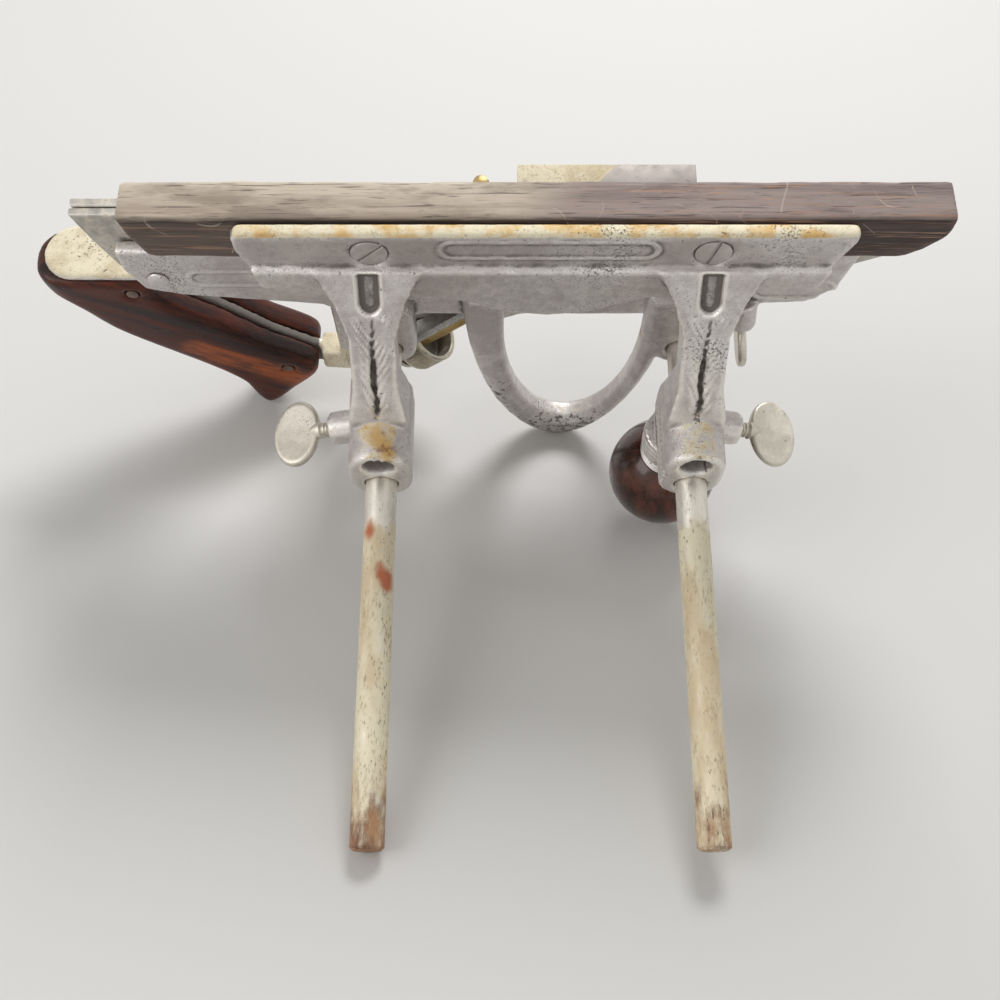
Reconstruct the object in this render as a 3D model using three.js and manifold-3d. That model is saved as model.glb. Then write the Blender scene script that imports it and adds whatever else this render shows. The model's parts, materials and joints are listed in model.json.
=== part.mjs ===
// A combination plane lying on a bench, upside down: its two skates and the wooden fence
// strip point up, and it rests on the horn of its handle, the ball knob and one rod.
//
// The working frame that the pieces are drawn in has +X towards the toe, +Y from the fence
// to the main stock and +Z towards the sole, with its origin midway between the two rods.
// At the end the whole plane is laid down on its three points of contact, with +Z up.

import * as THREE from 'three';
import { mergeVertices } from 'three/addons/utils/BufferGeometryUtils.js';
import Module from 'manifold-3d';

const wasm = await Module();
wasm.setup();

// Driving dimensions, in millimetres and degrees
const rodDiameter = 9.5;
const rodSpacing = 94;
const rodLength = 209.5;
const rodReach = 107.5;
const rodChamfer = 0.8;
const fit = 0.3;
const overrun = 2;
const fenceBossFront = -3;
const fenceBossLength = 30;
const plateSetback = 39;
const plateThick = 4.5;
const stripThick = 13;
const stripHeight = 18;
const stripProud = 0.6;
const stripRearReach = 112.5;
const stripFrontReach = 109.7;
const skateThick = 2.8;
const skateSpread = 0.4;
const soleHeight = 57;
const skateDepth = 33;
const skateRearReach = 131.5;
const skateFrontReach = 112;
const bedAngle = 45;
const mouthX = 30;
const castingTop = 46;
const bossRadius = 9.4;
const edgeBevel = 0.6;
const sides = 20;

const rodRadius = rodDiameter / 2;
const boreRadius = rodRadius + fit;
const rodX = rodSpacing / 2;
const rodTip = fenceBossFront - rodReach;
const plateFace = fenceBossFront + plateSetback;
const stripNear = plateFace + plateThick + fit;
const slidingSkateNear = stripNear + stripThick + fit;
const mainSkateNear = slidingSkateNear + skateThick + skateSpread;
const mainNear = mainSkateNear + skateThick + fit;
const slidingFar = slidingSkateNear - fit;

// Finishes
const finishes = {
  nickel: { color: 0xb9b5ac, roughness: 0.45, metalness: 0.85 },
  steel: { color: 0xa9a69e, roughness: 0.4, metalness: 0.9 },
  rosewood: { color: 0x4a2015, roughness: 0.35, metalness: 0 },
  weathered: { color: 0x5b4a42, roughness: 0.7, metalness: 0 },
  brass: { color: 0xa98a45, roughness: 0.4, metalness: 0.9 },
};
const finish = Object.fromEntries(
  Object.entries(finishes).map(([name, look]) => [name, new THREE.MeshStandardMaterial(look)]));

// Solids from geometry and back
function toSolid(geometry) {
  const plain = geometry.clone();
  plain.deleteAttribute('normal');
  plain.deleteAttribute('uv');
  const merged = mergeVertices(plain);
  const place = merged.attributes.position;
  const corners = merged.index.array;
  const kept = [];
  const [a, b, c] = [new THREE.Vector3(), new THREE.Vector3(), new THREE.Vector3()];
  let volume = 0;
  for (let i = 0; i < corners.length; i += 3) {
    const [p, q, r] = [corners[i], corners[i + 1], corners[i + 2]];
    if (p === q || q === r || r === p) continue;
    kept.push([p, q, r]);
    a.fromBufferAttribute(place, p);
    b.fromBufferAttribute(place, q);
    c.fromBufferAttribute(place, r);
    volume += a.dot(b.cross(c));
  }
  const outward = volume < 0 ? kept.map(([p, q, r]) => [p, r, q]) : kept;
  return new wasm.Manifold(new wasm.Mesh({
    numProp: 3,
    vertProperties: new Float32Array(place.array),
    triVerts: new Uint32Array(outward.flat()),
  }));
}

function toGeometry(solid) {
  const { vertProperties, triVerts } = solid.getMesh();
  const geometry = new THREE.BufferGeometry();
  geometry.setAttribute('position', new THREE.BufferAttribute(vertProperties, 3));
  geometry.setIndex(Array.from(triVerts));
  geometry.computeVertexNormals();
  return geometry;
}

function join(...geometries) {
  return geometries.map(toSolid).reduce((whole, piece) => whole.add(piece));
}

function cutAway(solid, ...geometries) {
  return geometries.map(toSolid).reduce((rest, tool) => rest.subtract(tool), solid);
}

// Shapes that many pieces use
function slab(outline, near, far, bevel = 0) {
  const shape = outline instanceof THREE.Shape
    ? outline : new THREE.Shape(outline.map(([x, z]) => new THREE.Vector2(x, z)));
  const geometry = new THREE.ExtrudeGeometry(shape, {
    depth: far - near - 2 * bevel,
    bevelEnabled: bevel > 0,
    bevelSize: bevel,
    bevelOffset: -bevel,
    bevelThickness: bevel,
    bevelSegments: 1,
    curveSegments: sides / 2,
  });
  geometry.rotateX(Math.PI / 2);
  geometry.translate(0, far - bevel, 0);
  return geometry;
}

function turned(profile, count = sides) {
  return new THREE.LatheGeometry(profile.map(([r, h]) => new THREE.Vector2(r, h)), count);
}

function pin(radius, start, end, count = sides) {
  return turned([[0, start], [radius, start], [radius, end], [0, end]], count);
}

function aimed(geometry, origin, direction) {
  const up = new THREE.Vector3(0, 1, 0);
  geometry.applyQuaternion(new THREE.Quaternion().setFromUnitVectors(up, direction));
  geometry.translate(origin.x, origin.y, origin.z);
  return geometry;
}

function squeezed(geometry, { x, y, z }, share) {
  const less = share - 1;
  return geometry.applyMatrix4(new THREE.Matrix4().set(
    1 + less * x * x, less * x * y, less * x * z, 0,
    less * x * y, 1 + less * y * y, less * y * z, 0,
    less * x * z, less * y * z, 1 + less * z * z, 0,
    0, 0, 0, 1));
}

function placed(shares, [x, z], [length, height]) {
  return shares.map(([along, up]) => [x + along * length, z + up * height]);
}

function smoothOutline(points, steps) {
  const curve = new THREE.CatmullRomCurve3(
    points.map(([x, z]) => new THREE.Vector3(x, z, 0)), true);
  return curve.getPoints(steps).slice(0, steps).map((p) => [p.x, p.y]);
}

function stadium(x, low, high, radius) {
  const shape = new THREE.Shape();
  shape.absarc(x, high - radius, radius, 0, Math.PI);
  shape.absarc(x, low + radius, radius, Math.PI, 2 * Math.PI);
  return shape;
}

function disc(x, z, radius) {
  const shape = new THREE.Shape();
  shape.absarc(x, z, radius, 0, 2 * Math.PI);
  return shape;
}

const plane = new THREE.Group();

function add(name, solid, material) {
  const geometry = solid instanceof THREE.BufferGeometry ? toGeometry(toSolid(solid)) : toGeometry(solid);
  const mesh = new THREE.Mesh(geometry, material);
  mesh.name = name;
  plane.add(mesh);
}

const ends = [
  { end: 'rear', side: -1 },
  { end: 'front', side: 1 },
];

// Long arm rods: plain steel, chamfered at both ends
for (const { end, side } of ends) {
  const rod = turned([
    [0, rodTip],
    [rodRadius - rodChamfer, rodTip],
    [rodRadius, rodTip + rodChamfer],
    [rodRadius, rodTip + rodLength - rodChamfer],
    [rodRadius - rodChamfer, rodTip + rodLength],
    [0, rodTip + rodLength],
  ]);
  rod.translate(side * rodX, 0, 0);
  add(`rod_${end}`, rod, finish.steel);
}

// Thumb screw: a threaded shank with a flat round or oval head standing edge-on at its end
const coinThick = 2.8;
const shankRadius = 2.4;
const shankFit = 0.25;

function thumbScrew(origin, direction, face, { tip, centre, radius, halfLength = radius }) {
  const shank = aimed(pin(shankRadius, tip, centre - halfLength / 2, sides / 2), origin, direction);
  const coin = pin(radius, -coinThick / 2, coinThick / 2);
  const middle = origin.clone().addScaledVector(direction, centre);
  const oval = squeezed(aimed(coin, new THREE.Vector3(), face), direction, halfLength / radius);
  return join(shank, oval.translate(middle.x, middle.y, middle.z));
}

// Fence casting: a plate that holds the wooden strip, with two leaf-shaped arms that
// run down to long bosses on the rods, each with a spare bore over the one in use
const plate = {
  rearReach: 82,
  frontReach: 83.5,
  top: 73,
  endBottom: 51,
  bellyBottom: 37,
  crease: 59.5,
  ribProud: 2.4,
  bevel: 0.8,
};
const arm = {
  waist: 6.7,
  flare: 15,
  shoulder: 10,
  foot: 8.6,
  meet: 9,
  rise: 15,
  depth: 9,
  tail: 15.4,
  groove: 1.6,
  grooveDepth: 1.3,
};
const fenceBoss = { top: 18, spareZ: 11.6, bevel: 1.4 };
const fenceScrew = {
  angle: 18, y: 18.5, nubRadius: 5.4, nubReach: 17.4, centre: 29.8, radius: 11.3, halfLength: 7.8,
};
const stripScrew = { x: 46, z: 65, radius: 3, headRadius: 5, headThick: 1.6, depth: 10, slot: 1 };

const plateWidth = plate.rearReach + plate.frontReach;
const plateHeight = plate.top - plate.bellyBottom;
const plateBase = [-plate.rearReach, plate.bellyBottom];
const ribTopShare = (plate.crease - plate.bellyBottom) / plateHeight;
const endShare = (plate.endBottom - plate.bellyBottom) / plateHeight;
const lowerEdgeShares = [
  [0.03, endShare], [0.12, endShare], [0.145, 0.2], [0.29, 0.23], [0.31, 0.27], [0.37, 0.2],
  [0.44, 0.05], [0.51, 0], [0.58, 0.05], [0.65, 0.2], [0.69, 0.27], [0.71, 0.23], [0.84, 0.2],
  [0.865, endShare], [0.96, endShare],
];
const plateOutline = placed([
  [0.01, 1], [0, 0.95], [0, 0.8], ...lowerEdgeShares, [1, 0.9], [1, 1],
], plateBase, [plateWidth, plateHeight]);
const ribOutline = placed([
  [0.02, ribTopShare], ...lowerEdgeShares, [0.975, ribTopShare],
], plateBase, [plateWidth, plateHeight]);

function fenceArm(side) {
  const x = side * rodX;
  const front = [
    [x - arm.foot, 0], [x - arm.foot, fenceBoss.top], [x - arm.waist, fenceBoss.top + arm.meet],
    [x - arm.waist, plate.bellyBottom + arm.meet / 2], [x - arm.shoulder, plate.endBottom],
    [x - arm.flare, plate.crease], [x + arm.flare, plate.crease],
    [x + arm.shoulder, plate.endBottom], [x + arm.waist, plate.bellyBottom + arm.meet / 2],
    [x + arm.waist, fenceBoss.top + arm.meet], [x + arm.foot, fenceBoss.top], [x + arm.foot, 0],
  ];
  const top = plateFace + plateThick / 2;
  const side2d = new THREE.Shape([
    [arm.meet, 0], [arm.meet, fenceBoss.top],
    [plateFace - plate.ribProud, plate.crease], [top, plate.crease],
    [top, plate.bellyBottom + arm.depth],
    [arm.meet + arm.rise, fenceBoss.top + arm.depth], [arm.meet + arm.tail, 0],
  ].map(([y, z]) => new THREE.Vector2(y, z)));
  const profile = new THREE.ExtrudeGeometry(side2d, { depth: 2 * arm.flare, bevelEnabled: false });
  profile.rotateY(Math.PI / 2);
  profile.rotateX(Math.PI / 2);
  profile.translate(x - arm.flare, 0, 0);
  const groove = new THREE.BoxGeometry(arm.groove, 2 * arm.grooveDepth, plate.bellyBottom - fenceBoss.top);
  const slant = Math.atan2(
    plateFace - plate.ribProud - arm.meet, plate.crease - fenceBoss.top);
  const halfway = (fenceBoss.top + plate.bellyBottom) / 2;
  groove.rotateX(-slant);
  groove.translate(x, arm.meet + (halfway - fenceBoss.top) * Math.tan(slant), halfway);
  return cutAway(toSolid(profile).intersect(toSolid(slab(front, 0, top))), groove);
}

const fenceScrewAngle = THREE.MathUtils.degToRad(fenceScrew.angle);
function fenceScrewWays(side) {
  return {
    origin: new THREE.Vector3(side * rodX, fenceScrew.y, 0),
    direction: new THREE.Vector3(
      side * Math.cos(fenceScrewAngle), 0, -Math.sin(fenceScrewAngle)),
    face: new THREE.Vector3(side * Math.sin(fenceScrewAngle), 0, Math.cos(fenceScrewAngle)),
  };
}

const knob = {
  x: 43, y: 15, radius: 17.6, top: -14.5, sunk: 2, studRadius: 3, studDepth: 12,
};
const collar = { radius: 9, rib: 0.9 };
const knobCentre = knob.top - knob.radius + knob.sunk;
const knobAxis = new THREE.Vector3(0, 0, -1);

let fenceCasting = join(
  slab(plateOutline, plateFace, plateFace + plateThick, plate.bevel),
  slab(ribOutline, plateFace - plate.ribProud, plateFace + plateThick, plate.bevel));
const fenceBack = fenceBossFront + fenceBossLength;
for (const { side } of ends) {
  const x = side * rodX;
  const ways = fenceScrewWays(side);
  fenceCasting = fenceCasting.add(fenceArm(side));
  fenceCasting = fenceCasting.add(toSolid(
    slab(stadium(x, -bossRadius, fenceBoss.top, bossRadius), fenceBossFront, fenceBack, fenceBoss.bevel)));
  fenceCasting = fenceCasting.add(toSolid(
    aimed(pin(fenceScrew.nubRadius, 0, fenceScrew.nubReach, sides / 2), ways.origin, ways.direction)));
}
const seat = pin(collar.radius, 0, bossRadius + fit, sides);
seat.rotateX(-Math.PI / 2);
seat.translate(knob.x, knob.y, 0);
fenceCasting = fenceCasting.add(toSolid(seat));
for (const { side } of ends) {
  const x = side * rodX;
  const ways = fenceScrewWays(side);
  fenceCasting = cutAway(fenceCasting,
    slab(disc(x, 0, boreRadius), fenceBossFront - overrun, fenceBack + overrun),
    slab(disc(x, fenceBoss.spareZ, rodRadius), fenceBossFront - overrun, fenceBack + overrun),
    aimed(pin(shankRadius + shankFit, 0, fenceScrew.nubReach + overrun, sides / 2), ways.origin, ways.direction),
    slab(disc(side * stripScrew.x, stripScrew.z, stripScrew.radius + shankFit),
      plateFace - overrun, plateFace + plateThick + overrun),
    slab(disc(side * stripScrew.x, stripScrew.z, stripScrew.headRadius + shankFit),
      plateFace - overrun, plateFace + stripScrew.headThick + shankFit));
}
add('fence_casting', fenceCasting, finish.nickel);

for (const { end, side } of ends) {
  const ways = fenceScrewWays(side);
  add(`fence_thumb_${end}`, thumbScrew(ways.origin, ways.direction, ways.face, {
    tip: boreRadius, centre: fenceScrew.centre, radius: fenceScrew.radius, halfLength: fenceScrew.halfLength,
  }), finish.nickel);
}

// Ball knob of turned rosewood, screwed by a stud to a ribbed seat under the front boss
const knobFlat = Math.sqrt(knob.radius ** 2 - (knob.top - knobCentre) ** 2);
const knobSteps = 14;
const knobStart = Math.acos((knob.top - knobCentre) / knob.radius);
const ball = [];
for (let i = 0; i <= knobSteps; i += 1) {
  const angle = knobStart + ((Math.PI - knobStart) * i) / knobSteps;
  ball.push([i === knobSteps ? 0 : knob.radius * Math.sin(angle), -knobCentre - knob.radius * Math.cos(angle)]);
}
const knobFoot = new THREE.Vector3(knob.x, knob.y, 0);
const knobBall = turned([[0, -knob.top], ...ball]);
const studHole = pin(knob.studRadius + shankFit, 0, knob.studDepth - knob.top + fit, sides / 2);
add('knob', cutAway(toSolid(aimed(knobBall, knobFoot, knobAxis)), aimed(studHole, knobFoot, knobAxis)),
  finish.rosewood);

const collarTop = bossRadius + 2 * fit;
const collarFoot = -knob.top - fit;
const ringStep = (collarFoot - collarTop) / 4;
const collarProfile = [[knob.studRadius + shankFit, collarTop]];
for (let i = 0; i <= 4; i += 1) {
  const out = i % 2 ? collar.radius : collar.radius - collar.rib;
  collarProfile.push([out, collarTop + i * ringStep]);
}
collarProfile.push([knob.studRadius + shankFit, collarFoot], [knob.studRadius + shankFit, collarTop]);
add('knob_collar', aimed(turned(collarProfile), knobFoot, knobAxis), finish.nickel);

add('knob_stud', aimed(
  pin(knob.studRadius, collarTop, knob.studDepth - knob.top, sides / 2), knobFoot, knobAxis), finish.steel);

// Fence strip: a rosewood bar with slanted ends, held by two slotted screws
const stripTop = plate.top + stripProud;
const stripLength = stripRearReach + stripFrontReach;
const stripOutline = placed([
  [0, 1], [0.004, 0.6], [0.02, 0.05], [0.03, 0], [0.955, 0], [0.982, 0.12], [1, 0.62], [1, 1],
], [-stripRearReach, stripTop - stripHeight], [stripLength, stripHeight]);
const stripEdge = 0.8;
let strip = toSolid(slab(stripOutline, stripNear, stripNear + stripThick, stripEdge));
for (const { side } of ends) {
  strip = cutAway(strip, slab(disc(side * stripScrew.x, stripScrew.z, stripScrew.radius + shankFit),
    stripNear - overrun, plateFace + stripScrew.depth + fit));
}
add('fence_strip', strip, finish.weathered);

for (const { end, side } of ends) {
  const origin = new THREE.Vector3(side * stripScrew.x, plateFace, stripScrew.z);
  const inward = new THREE.Vector3(0, 1, 0);
  const screw = join(
    aimed(pin(stripScrew.headRadius, 0, stripScrew.headThick, sides), origin, inward),
    aimed(pin(stripScrew.radius, 0, stripScrew.depth, sides / 2), origin, inward));
  const slot = new THREE.BoxGeometry(
    2 * stripScrew.headRadius + overrun, stripScrew.headThick, stripScrew.slot);
  slot.rotateY(Math.PI / 4);
  slot.translate(side * stripScrew.x, plateFace, stripScrew.z);
  add(`strip_screw_${end}`, cutAway(screw, slot), finish.nickel);
}

// Rivets that hold each piece of skate to its casting, with a low dome on the casting's side
const rivet = {
  radius: 1.6, headRadius: 3.2, headHigh: 1.3, shoulder: 2.4, z: 32.5,
  rearInset: 19.5, middleX: -30, mouthInset: 24,
};
const rivetPlaces = [
  -skateRearReach + rivet.rearInset, rivet.middleX, mouthX + rivet.mouthInset];
const rivetNames = ['rear', 'middle', 'front'];
function rivetSolid(x, skateFace, castingFace) {
  const inward = Math.sign(castingFace - skateFace);
  const origin = new THREE.Vector3(x, skateFace, rivet.z);
  const grip = Math.abs(castingFace - skateFace);
  const head = grip + rivet.headHigh;
  return aimed(turned([
    [0, 0], [rivet.radius, 0], [rivet.radius, grip + fit], [rivet.headRadius, grip + fit],
    [rivet.shoulder, head], [0, head + fit],
  ], sides / 2), origin, new THREE.Vector3(0, inward, 0));
}
const rivetHole = (x, near, far) =>
  slab(disc(x, rivet.z, rivet.radius + shankFit), near - overrun, far + overrun);
const rivetHoles = (near, far) => rivetPlaces.map((x) => rivetHole(x, near, far));

// Skates: thin steel runners, each in a rear and a front piece with the mouth between them.
// The rear piece ends in the slope that backs the cutter.
const bed = THREE.MathUtils.degToRad(bedAngle);
const feed = new THREE.Vector3(Math.cos(bed), 0, Math.sin(bed));
const cutter = { thick: 3, length: 120, proud: 0.6, bevelLength: 5, notch: 1.3 };
const mouthGap = 8;
const skateTailShare = [
  [0, 1], [0.012, 0.62], [0.035, 0.08], [0.045, 0],
];
const slope = 1 / Math.tan(bed);
const halfCutterX = cutter.thick / 2 / Math.sin(bed);
const cutterX = (z) => mouthX - (soleHeight - z) * slope;
const skateLow = soleHeight - skateDepth;
const tail = placed(skateTailShare, [-skateRearReach, skateLow], [2 * skateRearReach, skateDepth]);
const backX = (z) => cutterX(z) - halfCutterX - fit;
const rearSkate = [...tail, [backX(skateLow), skateLow], [backX(soleHeight), soleHeight]];
const noseShare = 0.06;
const noseLength = noseShare * 2 * skateFrontReach;
const frontSkate = [
  [mouthX + mouthGap, soleHeight], [mouthX + mouthGap * 1.5, skateLow],
  [skateFrontReach - 2 * noseLength, skateLow], [skateFrontReach - 1.4 * noseLength, skateLow + skateDepth / 4],
  [skateFrontReach - noseLength / 4, skateLow + skateDepth / 2],
  [skateFrontReach, soleHeight],
];
const skateEdge = 0.4;
for (const [owner, near] of [['sliding', slidingSkateNear], ['main', mainSkateNear]]) {
  const holes = rivetHoles(near, near + skateThick);
  for (const [end, outline] of [['rear', rearSkate], ['front', frontSkate]]) {
    const blade = toSolid(slab(outline, near, near + skateThick, skateEdge));
    add(`${owner}_skate_${end}`, cutAway(blade, ...holes), finish.steel);
  }
}

// Sliding section: a rear and a front casting joined only by the arch that lets shavings out
const slider = { thick: 4.6, bossLength: 10, bossBevel: 1, low: 18 };
const arch = {
  x: 10.2, low: -64.5, outer: 32.7, innerX: 12, inner: 21.8, innerTop: 3, innerLow: -52.5,
  near: 9.5, bevel: 2.2,
};
const sliderNear = slidingFar - slider.thick;
const sliderBossNear = slidingFar - slider.bossLength;
const archNear = slidingFar - arch.near;
const legHead = slider.low + slider.bossLength;

const sliderRearReach = 121.4;
const sliderFrontReach = 93;
const rearBodyLength = sliderRearReach + arch.innerX - arch.inner;
const bodyHeight = castingTop - slider.low;
const sliderRear = placed([
  [0, 1], [0, 0.68], [0.036, 0.31], [0.13, 0.19], [0.5, 0], [0.56, -0.2], [0.8, -0.2],
  [1, -0.2], [1, 1],
], [-sliderRearReach, slider.low], [rearBodyLength, bodyHeight]);
const frontStart = arch.innerX + arch.inner;
const frontBodyLength = sliderFrontReach - frontStart;
const sliderFront = placed([
  [0, 1], [0, -0.2], [0.42, -0.2], [0.5, 0], [0.82, 0.05], [0.95, 0.32], [1, 1],
], [frontStart, slider.low], [frontBodyLength, bodyHeight]);

const archShape = new THREE.Shape();
archShape.absellipse(arch.x, legHead, arch.outer, legHead - arch.low, Math.PI, 2 * Math.PI);
archShape.lineTo(arch.innerX + arch.inner, legHead);
archShape.absellipse(
  arch.innerX, arch.innerTop, arch.inner, arch.innerTop - arch.innerLow, 2 * Math.PI, Math.PI, true);
archShape.lineTo(arch.innerX - arch.inner, legHead);

const sliderRearThumb = { y: 45.9, centre: 29, radius: 8 };
const sliderFrontThumb = {
  x: 64, tilt: 8, y: 50, top: 16, lugRadius: 4.6, lugLength: 9, centre: 20, radius: 9,
};
const slitX = 44;
const slitWidth = 0.9;
const tilt = THREE.MathUtils.degToRad(sliderFrontThumb.tilt);
const frontLug = new THREE.Vector3(sliderFrontThumb.x, sliderFrontThumb.y, sliderFrontThumb.top);
const frontLugWay = new THREE.Vector3(Math.sin(tilt), 0, -Math.cos(tilt));
const frontThumbFace = new THREE.Vector3(Math.cos(tilt), 0, Math.sin(tilt));
const rearThumbRoot = new THREE.Vector3(-rodX, sliderRearThumb.y, 0);
const down = new THREE.Vector3(0, 0, -1);
const towardsToe = new THREE.Vector3(1, 0, 0);
const lugDeep = sliderFrontThumb.lugRadius;

let slidingSection = join(
  slab(sliderRear, sliderNear, slidingFar, edgeBevel),
  slab(sliderFront, sliderNear, slidingFar, edgeBevel),
  slab(archShape, archNear, slidingFar, arch.bevel),
  slab(stadium(-rodX, -bossRadius, slider.low + bossRadius, bossRadius),
    sliderBossNear, slidingFar, slider.bossBevel),
  slab(stadium(rodX, -bossRadius, slider.low + bossRadius, bossRadius),
    sliderBossNear, slidingFar, slider.bossBevel),
  aimed(pin(sliderFrontThumb.lugRadius, -lugDeep, sliderFrontThumb.lugLength, sides / 2), frontLug, frontLugWay));
slidingSection = cutAway(slidingSection,
  slab(disc(-rodX, 0, boreRadius), archNear - overrun, slidingFar + overrun),
  slab(disc(rodX, 0, boreRadius), archNear - overrun, slidingFar + overrun),
  aimed(pin(shankRadius + shankFit, 0, bossRadius + overrun, sides / 2), rearThumbRoot, down),
  aimed(pin(shankRadius + shankFit, -lugDeep / 2, sliderFrontThumb.lugLength + overrun, sides / 2),
    frontLug, frontLugWay));
const slit = new THREE.BoxGeometry(slitWidth, slider.bossLength / 2, slider.low - bossRadius / 2);
slit.translate(slitX, sliderBossNear, slider.low - bossRadius / 4);
slidingSection = cutAway(slidingSection, slit, ...rivetHoles(sliderNear, slidingFar));
rivetPlaces.forEach((x, i) => {
  add(`sliding_rivet_${rivetNames[i]}`, rivetSolid(x, slidingSkateNear + skateThick, sliderNear), finish.nickel);
});
add('sliding_section', slidingSection, finish.nickel);

add('slider_thumb_rear', thumbScrew(rearThumbRoot, down, towardsToe, {
  tip: boreRadius, centre: sliderRearThumb.centre, radius: sliderRearThumb.radius,
}), finish.nickel);
add('slider_thumb_front', thumbScrew(frontLug, frontLugWay, frontThumbFace, {
  tip: 0, centre: sliderFrontThumb.centre, radius: sliderFrontThumb.radius,
}), finish.nickel);

// Main stock: the casting behind, with the rod sockets, the foot and frame of the handle,
// the lug of the cutter feed screw and the socket of the depth gauge
const stock = {
  rearReach: 121, frontReach: 94, thick: 6, low: 17, socketLength: 26, edge: 0.7,
};
const mainFar = mainNear + stock.thick;
const tote = {
  rearX: -156, top: 19.7, length: 81.5, drop: 81, thick: 21, middleY: 66, frame: 3.2, bevel: 1.8,
};
const foot = { top: 22.6, rearX: -152, frontX: -106, bevel: 0.8, sideInset: 0.7 };
const post = { left: -66.5, right: -57.5, low: -43 };
const link = { width: 10, gap: 0.8 };
const feedNut = { x: -33.8, z: -26, y: 65.5, outer: 10, inner: 8.4, depth: 8, floor: 2.4, hub: 4.6 };
const feedScrew = { radius: 2.6, lugRadius: 5, lugX: -15 };
const gauge = {
  x: 30, footRearX: -6, footLength: 52, footWidth: 9, footThick: 3, top: 50, postRadius: 3.2,
  y: 72.6, postEnd: -6, socketRadius: 6.4, socketTop: 34, socketLow: 4, thumbZ: 19,
  thumbCentre: 20, thumbRadius: 7,
};
const lugZ = feedNut.z + (feedScrew.lugX - feedNut.x);
const stockLength = stock.rearReach + stock.frontReach;
const upTo = (z) => (z - stock.low) / (castingTop - stock.low);
const along = (x) => (x + stock.rearReach) / stockLength;
const stockOutline = placed([
  [0, 1], [0, 0.31], [0.075, 0.07], [along(post.left) - 0.01, 0], [along(post.left), -0.2],
  [along(post.left), upTo(post.low) + 0.1], [along(post.left) + 0.015, upTo(post.low)],
  [along(post.right) - 0.01, upTo(post.low)], [along(post.right), upTo(post.low) + 0.15],
  [along(post.right), -0.8], [0.345, -0.9], [0.387, -0.9],
  [along(feedScrew.lugX) - 0.03, upTo(lugZ + feedScrew.lugRadius)],
  [along(feedScrew.lugX), upTo(lugZ - feedScrew.lugRadius)],
  [0.544, -0.8], [0.732, -0.8], [0.784, -0.9], [0.83, -0.7], [0.87, 0], [0.935, 0.08],
  [0.985, 0.45], [0.99, 1],
], [-stock.rearReach, stock.low], [stockLength, castingTop - stock.low]);

const toteShares = [
  [0.008, 0.006], [0.01, 0.05], [0.06, 0.1], [0.144, 0.217], [0.206, 0.325], [0.282, 0.412],
  [0.432, 0.554], [0.519, 0.636], [0.606, 0.73], [0.66, 0.809], [0.683, 0.907], [0.729, 1],
  [0.806, 0.949], [0.864, 0.873], [0.919, 0.812], [0.983, 0.735], [1, 0.675], [0.96, 0.615],
  [0.82, 0.511], [0.709, 0.389], [0.618, 0.296], [0.528, 0.22], [0.452, 0.127], [0.428, 0.006],
];
const frameBackShares = [
  [0.123, -0.022], [0.123, 0.07], [0.196, 0.194], [0.294, 0.305], [0.417, 0.404], [0.564, 0.521],
  [0.712, 0.644], [0.859, 0.743], [1, 0.78],
];
const frameFrontShares = [
  [1.055, 0.673], [0.979, 0.637], [0.925, 0.596], [0.82, 0.511], [0.709, 0.389], [0.618, 0.296],
  [0.528, 0.22], [0.452, 0.127], [0.428, -0.022],
];
const toteBase = [tote.rearX, tote.top];
const toteSize = [tote.length, -tote.drop];
const toteOutline = placed(toteShares, toteBase, toteSize);
const linkShares = [0.8, 0.681];
const linkEnds = linkShares.map((share) => [post.right + fit, tote.top - share * tote.drop]);
const frameOutline = [
  ...placed(frameBackShares, toteBase, toteSize), ...linkEnds,
  ...placed(frameFrontShares, toteBase, toteSize)];
const linkRearShares = { low: 0.78, top: 0.66 };
const linkOutline = [
  [tote.rearX + tote.length + link.gap, tote.top - linkRearShares.low * tote.drop], ...linkEnds,
  [tote.rearX + tote.length + link.gap, tote.top - linkRearShares.top * tote.drop]];
const frameNear = tote.middleY - tote.frame / 2;
const frameFar = tote.middleY + tote.frame / 2;

function roundEnded(rearX, frontX, half, low, high, bevel) {
  const shape = new THREE.Shape();
  shape.moveTo(frontX, tote.middleY - half);
  shape.lineTo(frontX, tote.middleY + half);
  shape.lineTo(rearX + half, tote.middleY + half);
  shape.absarc(rearX + half, tote.middleY, half, Math.PI / 2, 1.5 * Math.PI);
  const geometry = new THREE.ExtrudeGeometry(shape, {
    depth: high - low - 2 * bevel,
    bevelEnabled: bevel > 0, bevelSize: bevel, bevelOffset: -bevel,
    bevelThickness: bevel, bevelSegments: 1, curveSegments: sides / 2,
  });
  geometry.translate(0, 0, low + bevel);
  return geometry;
}
const footPlate = roundEnded(
  foot.rearX, foot.frontX, tote.thick / 2 - foot.sideInset, tote.top + fit, foot.top, foot.bevel);

const screwRoot = new THREE.Vector3(feedScrew.lugX, feedNut.y, lugZ);
const feedBack = feed.clone().negate();
const lugHalf = 4;
let mainStock = join(
  slab(stockOutline, mainNear, mainFar, stock.edge),
  slab(frameOutline, frameNear, frameFar),
  slab(linkOutline, tote.middleY - link.width / 2, tote.middleY + link.width / 2, stock.edge),
  footPlate,
  slab(stadium(-rodX, -bossRadius, slider.low + bossRadius, bossRadius),
    mainNear, mainNear + stock.socketLength, slider.bossBevel),
  slab(stadium(rodX, -bossRadius, slider.low + bossRadius, bossRadius),
    mainNear, mainNear + stock.socketLength, slider.bossBevel),
  aimed(pin(feedScrew.lugRadius, -lugHalf, lugHalf, sides / 2), screwRoot, feed));
const socket = pin(gauge.socketRadius, 0, gauge.socketTop - gauge.socketLow, sides);
const gaugeLow = new THREE.Vector3(gauge.x, gauge.y, gauge.socketLow);
const upward = new THREE.Vector3(0, 0, 1);
const outward = new THREE.Vector3(0, 1, 0);
mainStock = mainStock.add(toSolid(aimed(socket, gaugeLow, upward)));
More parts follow.
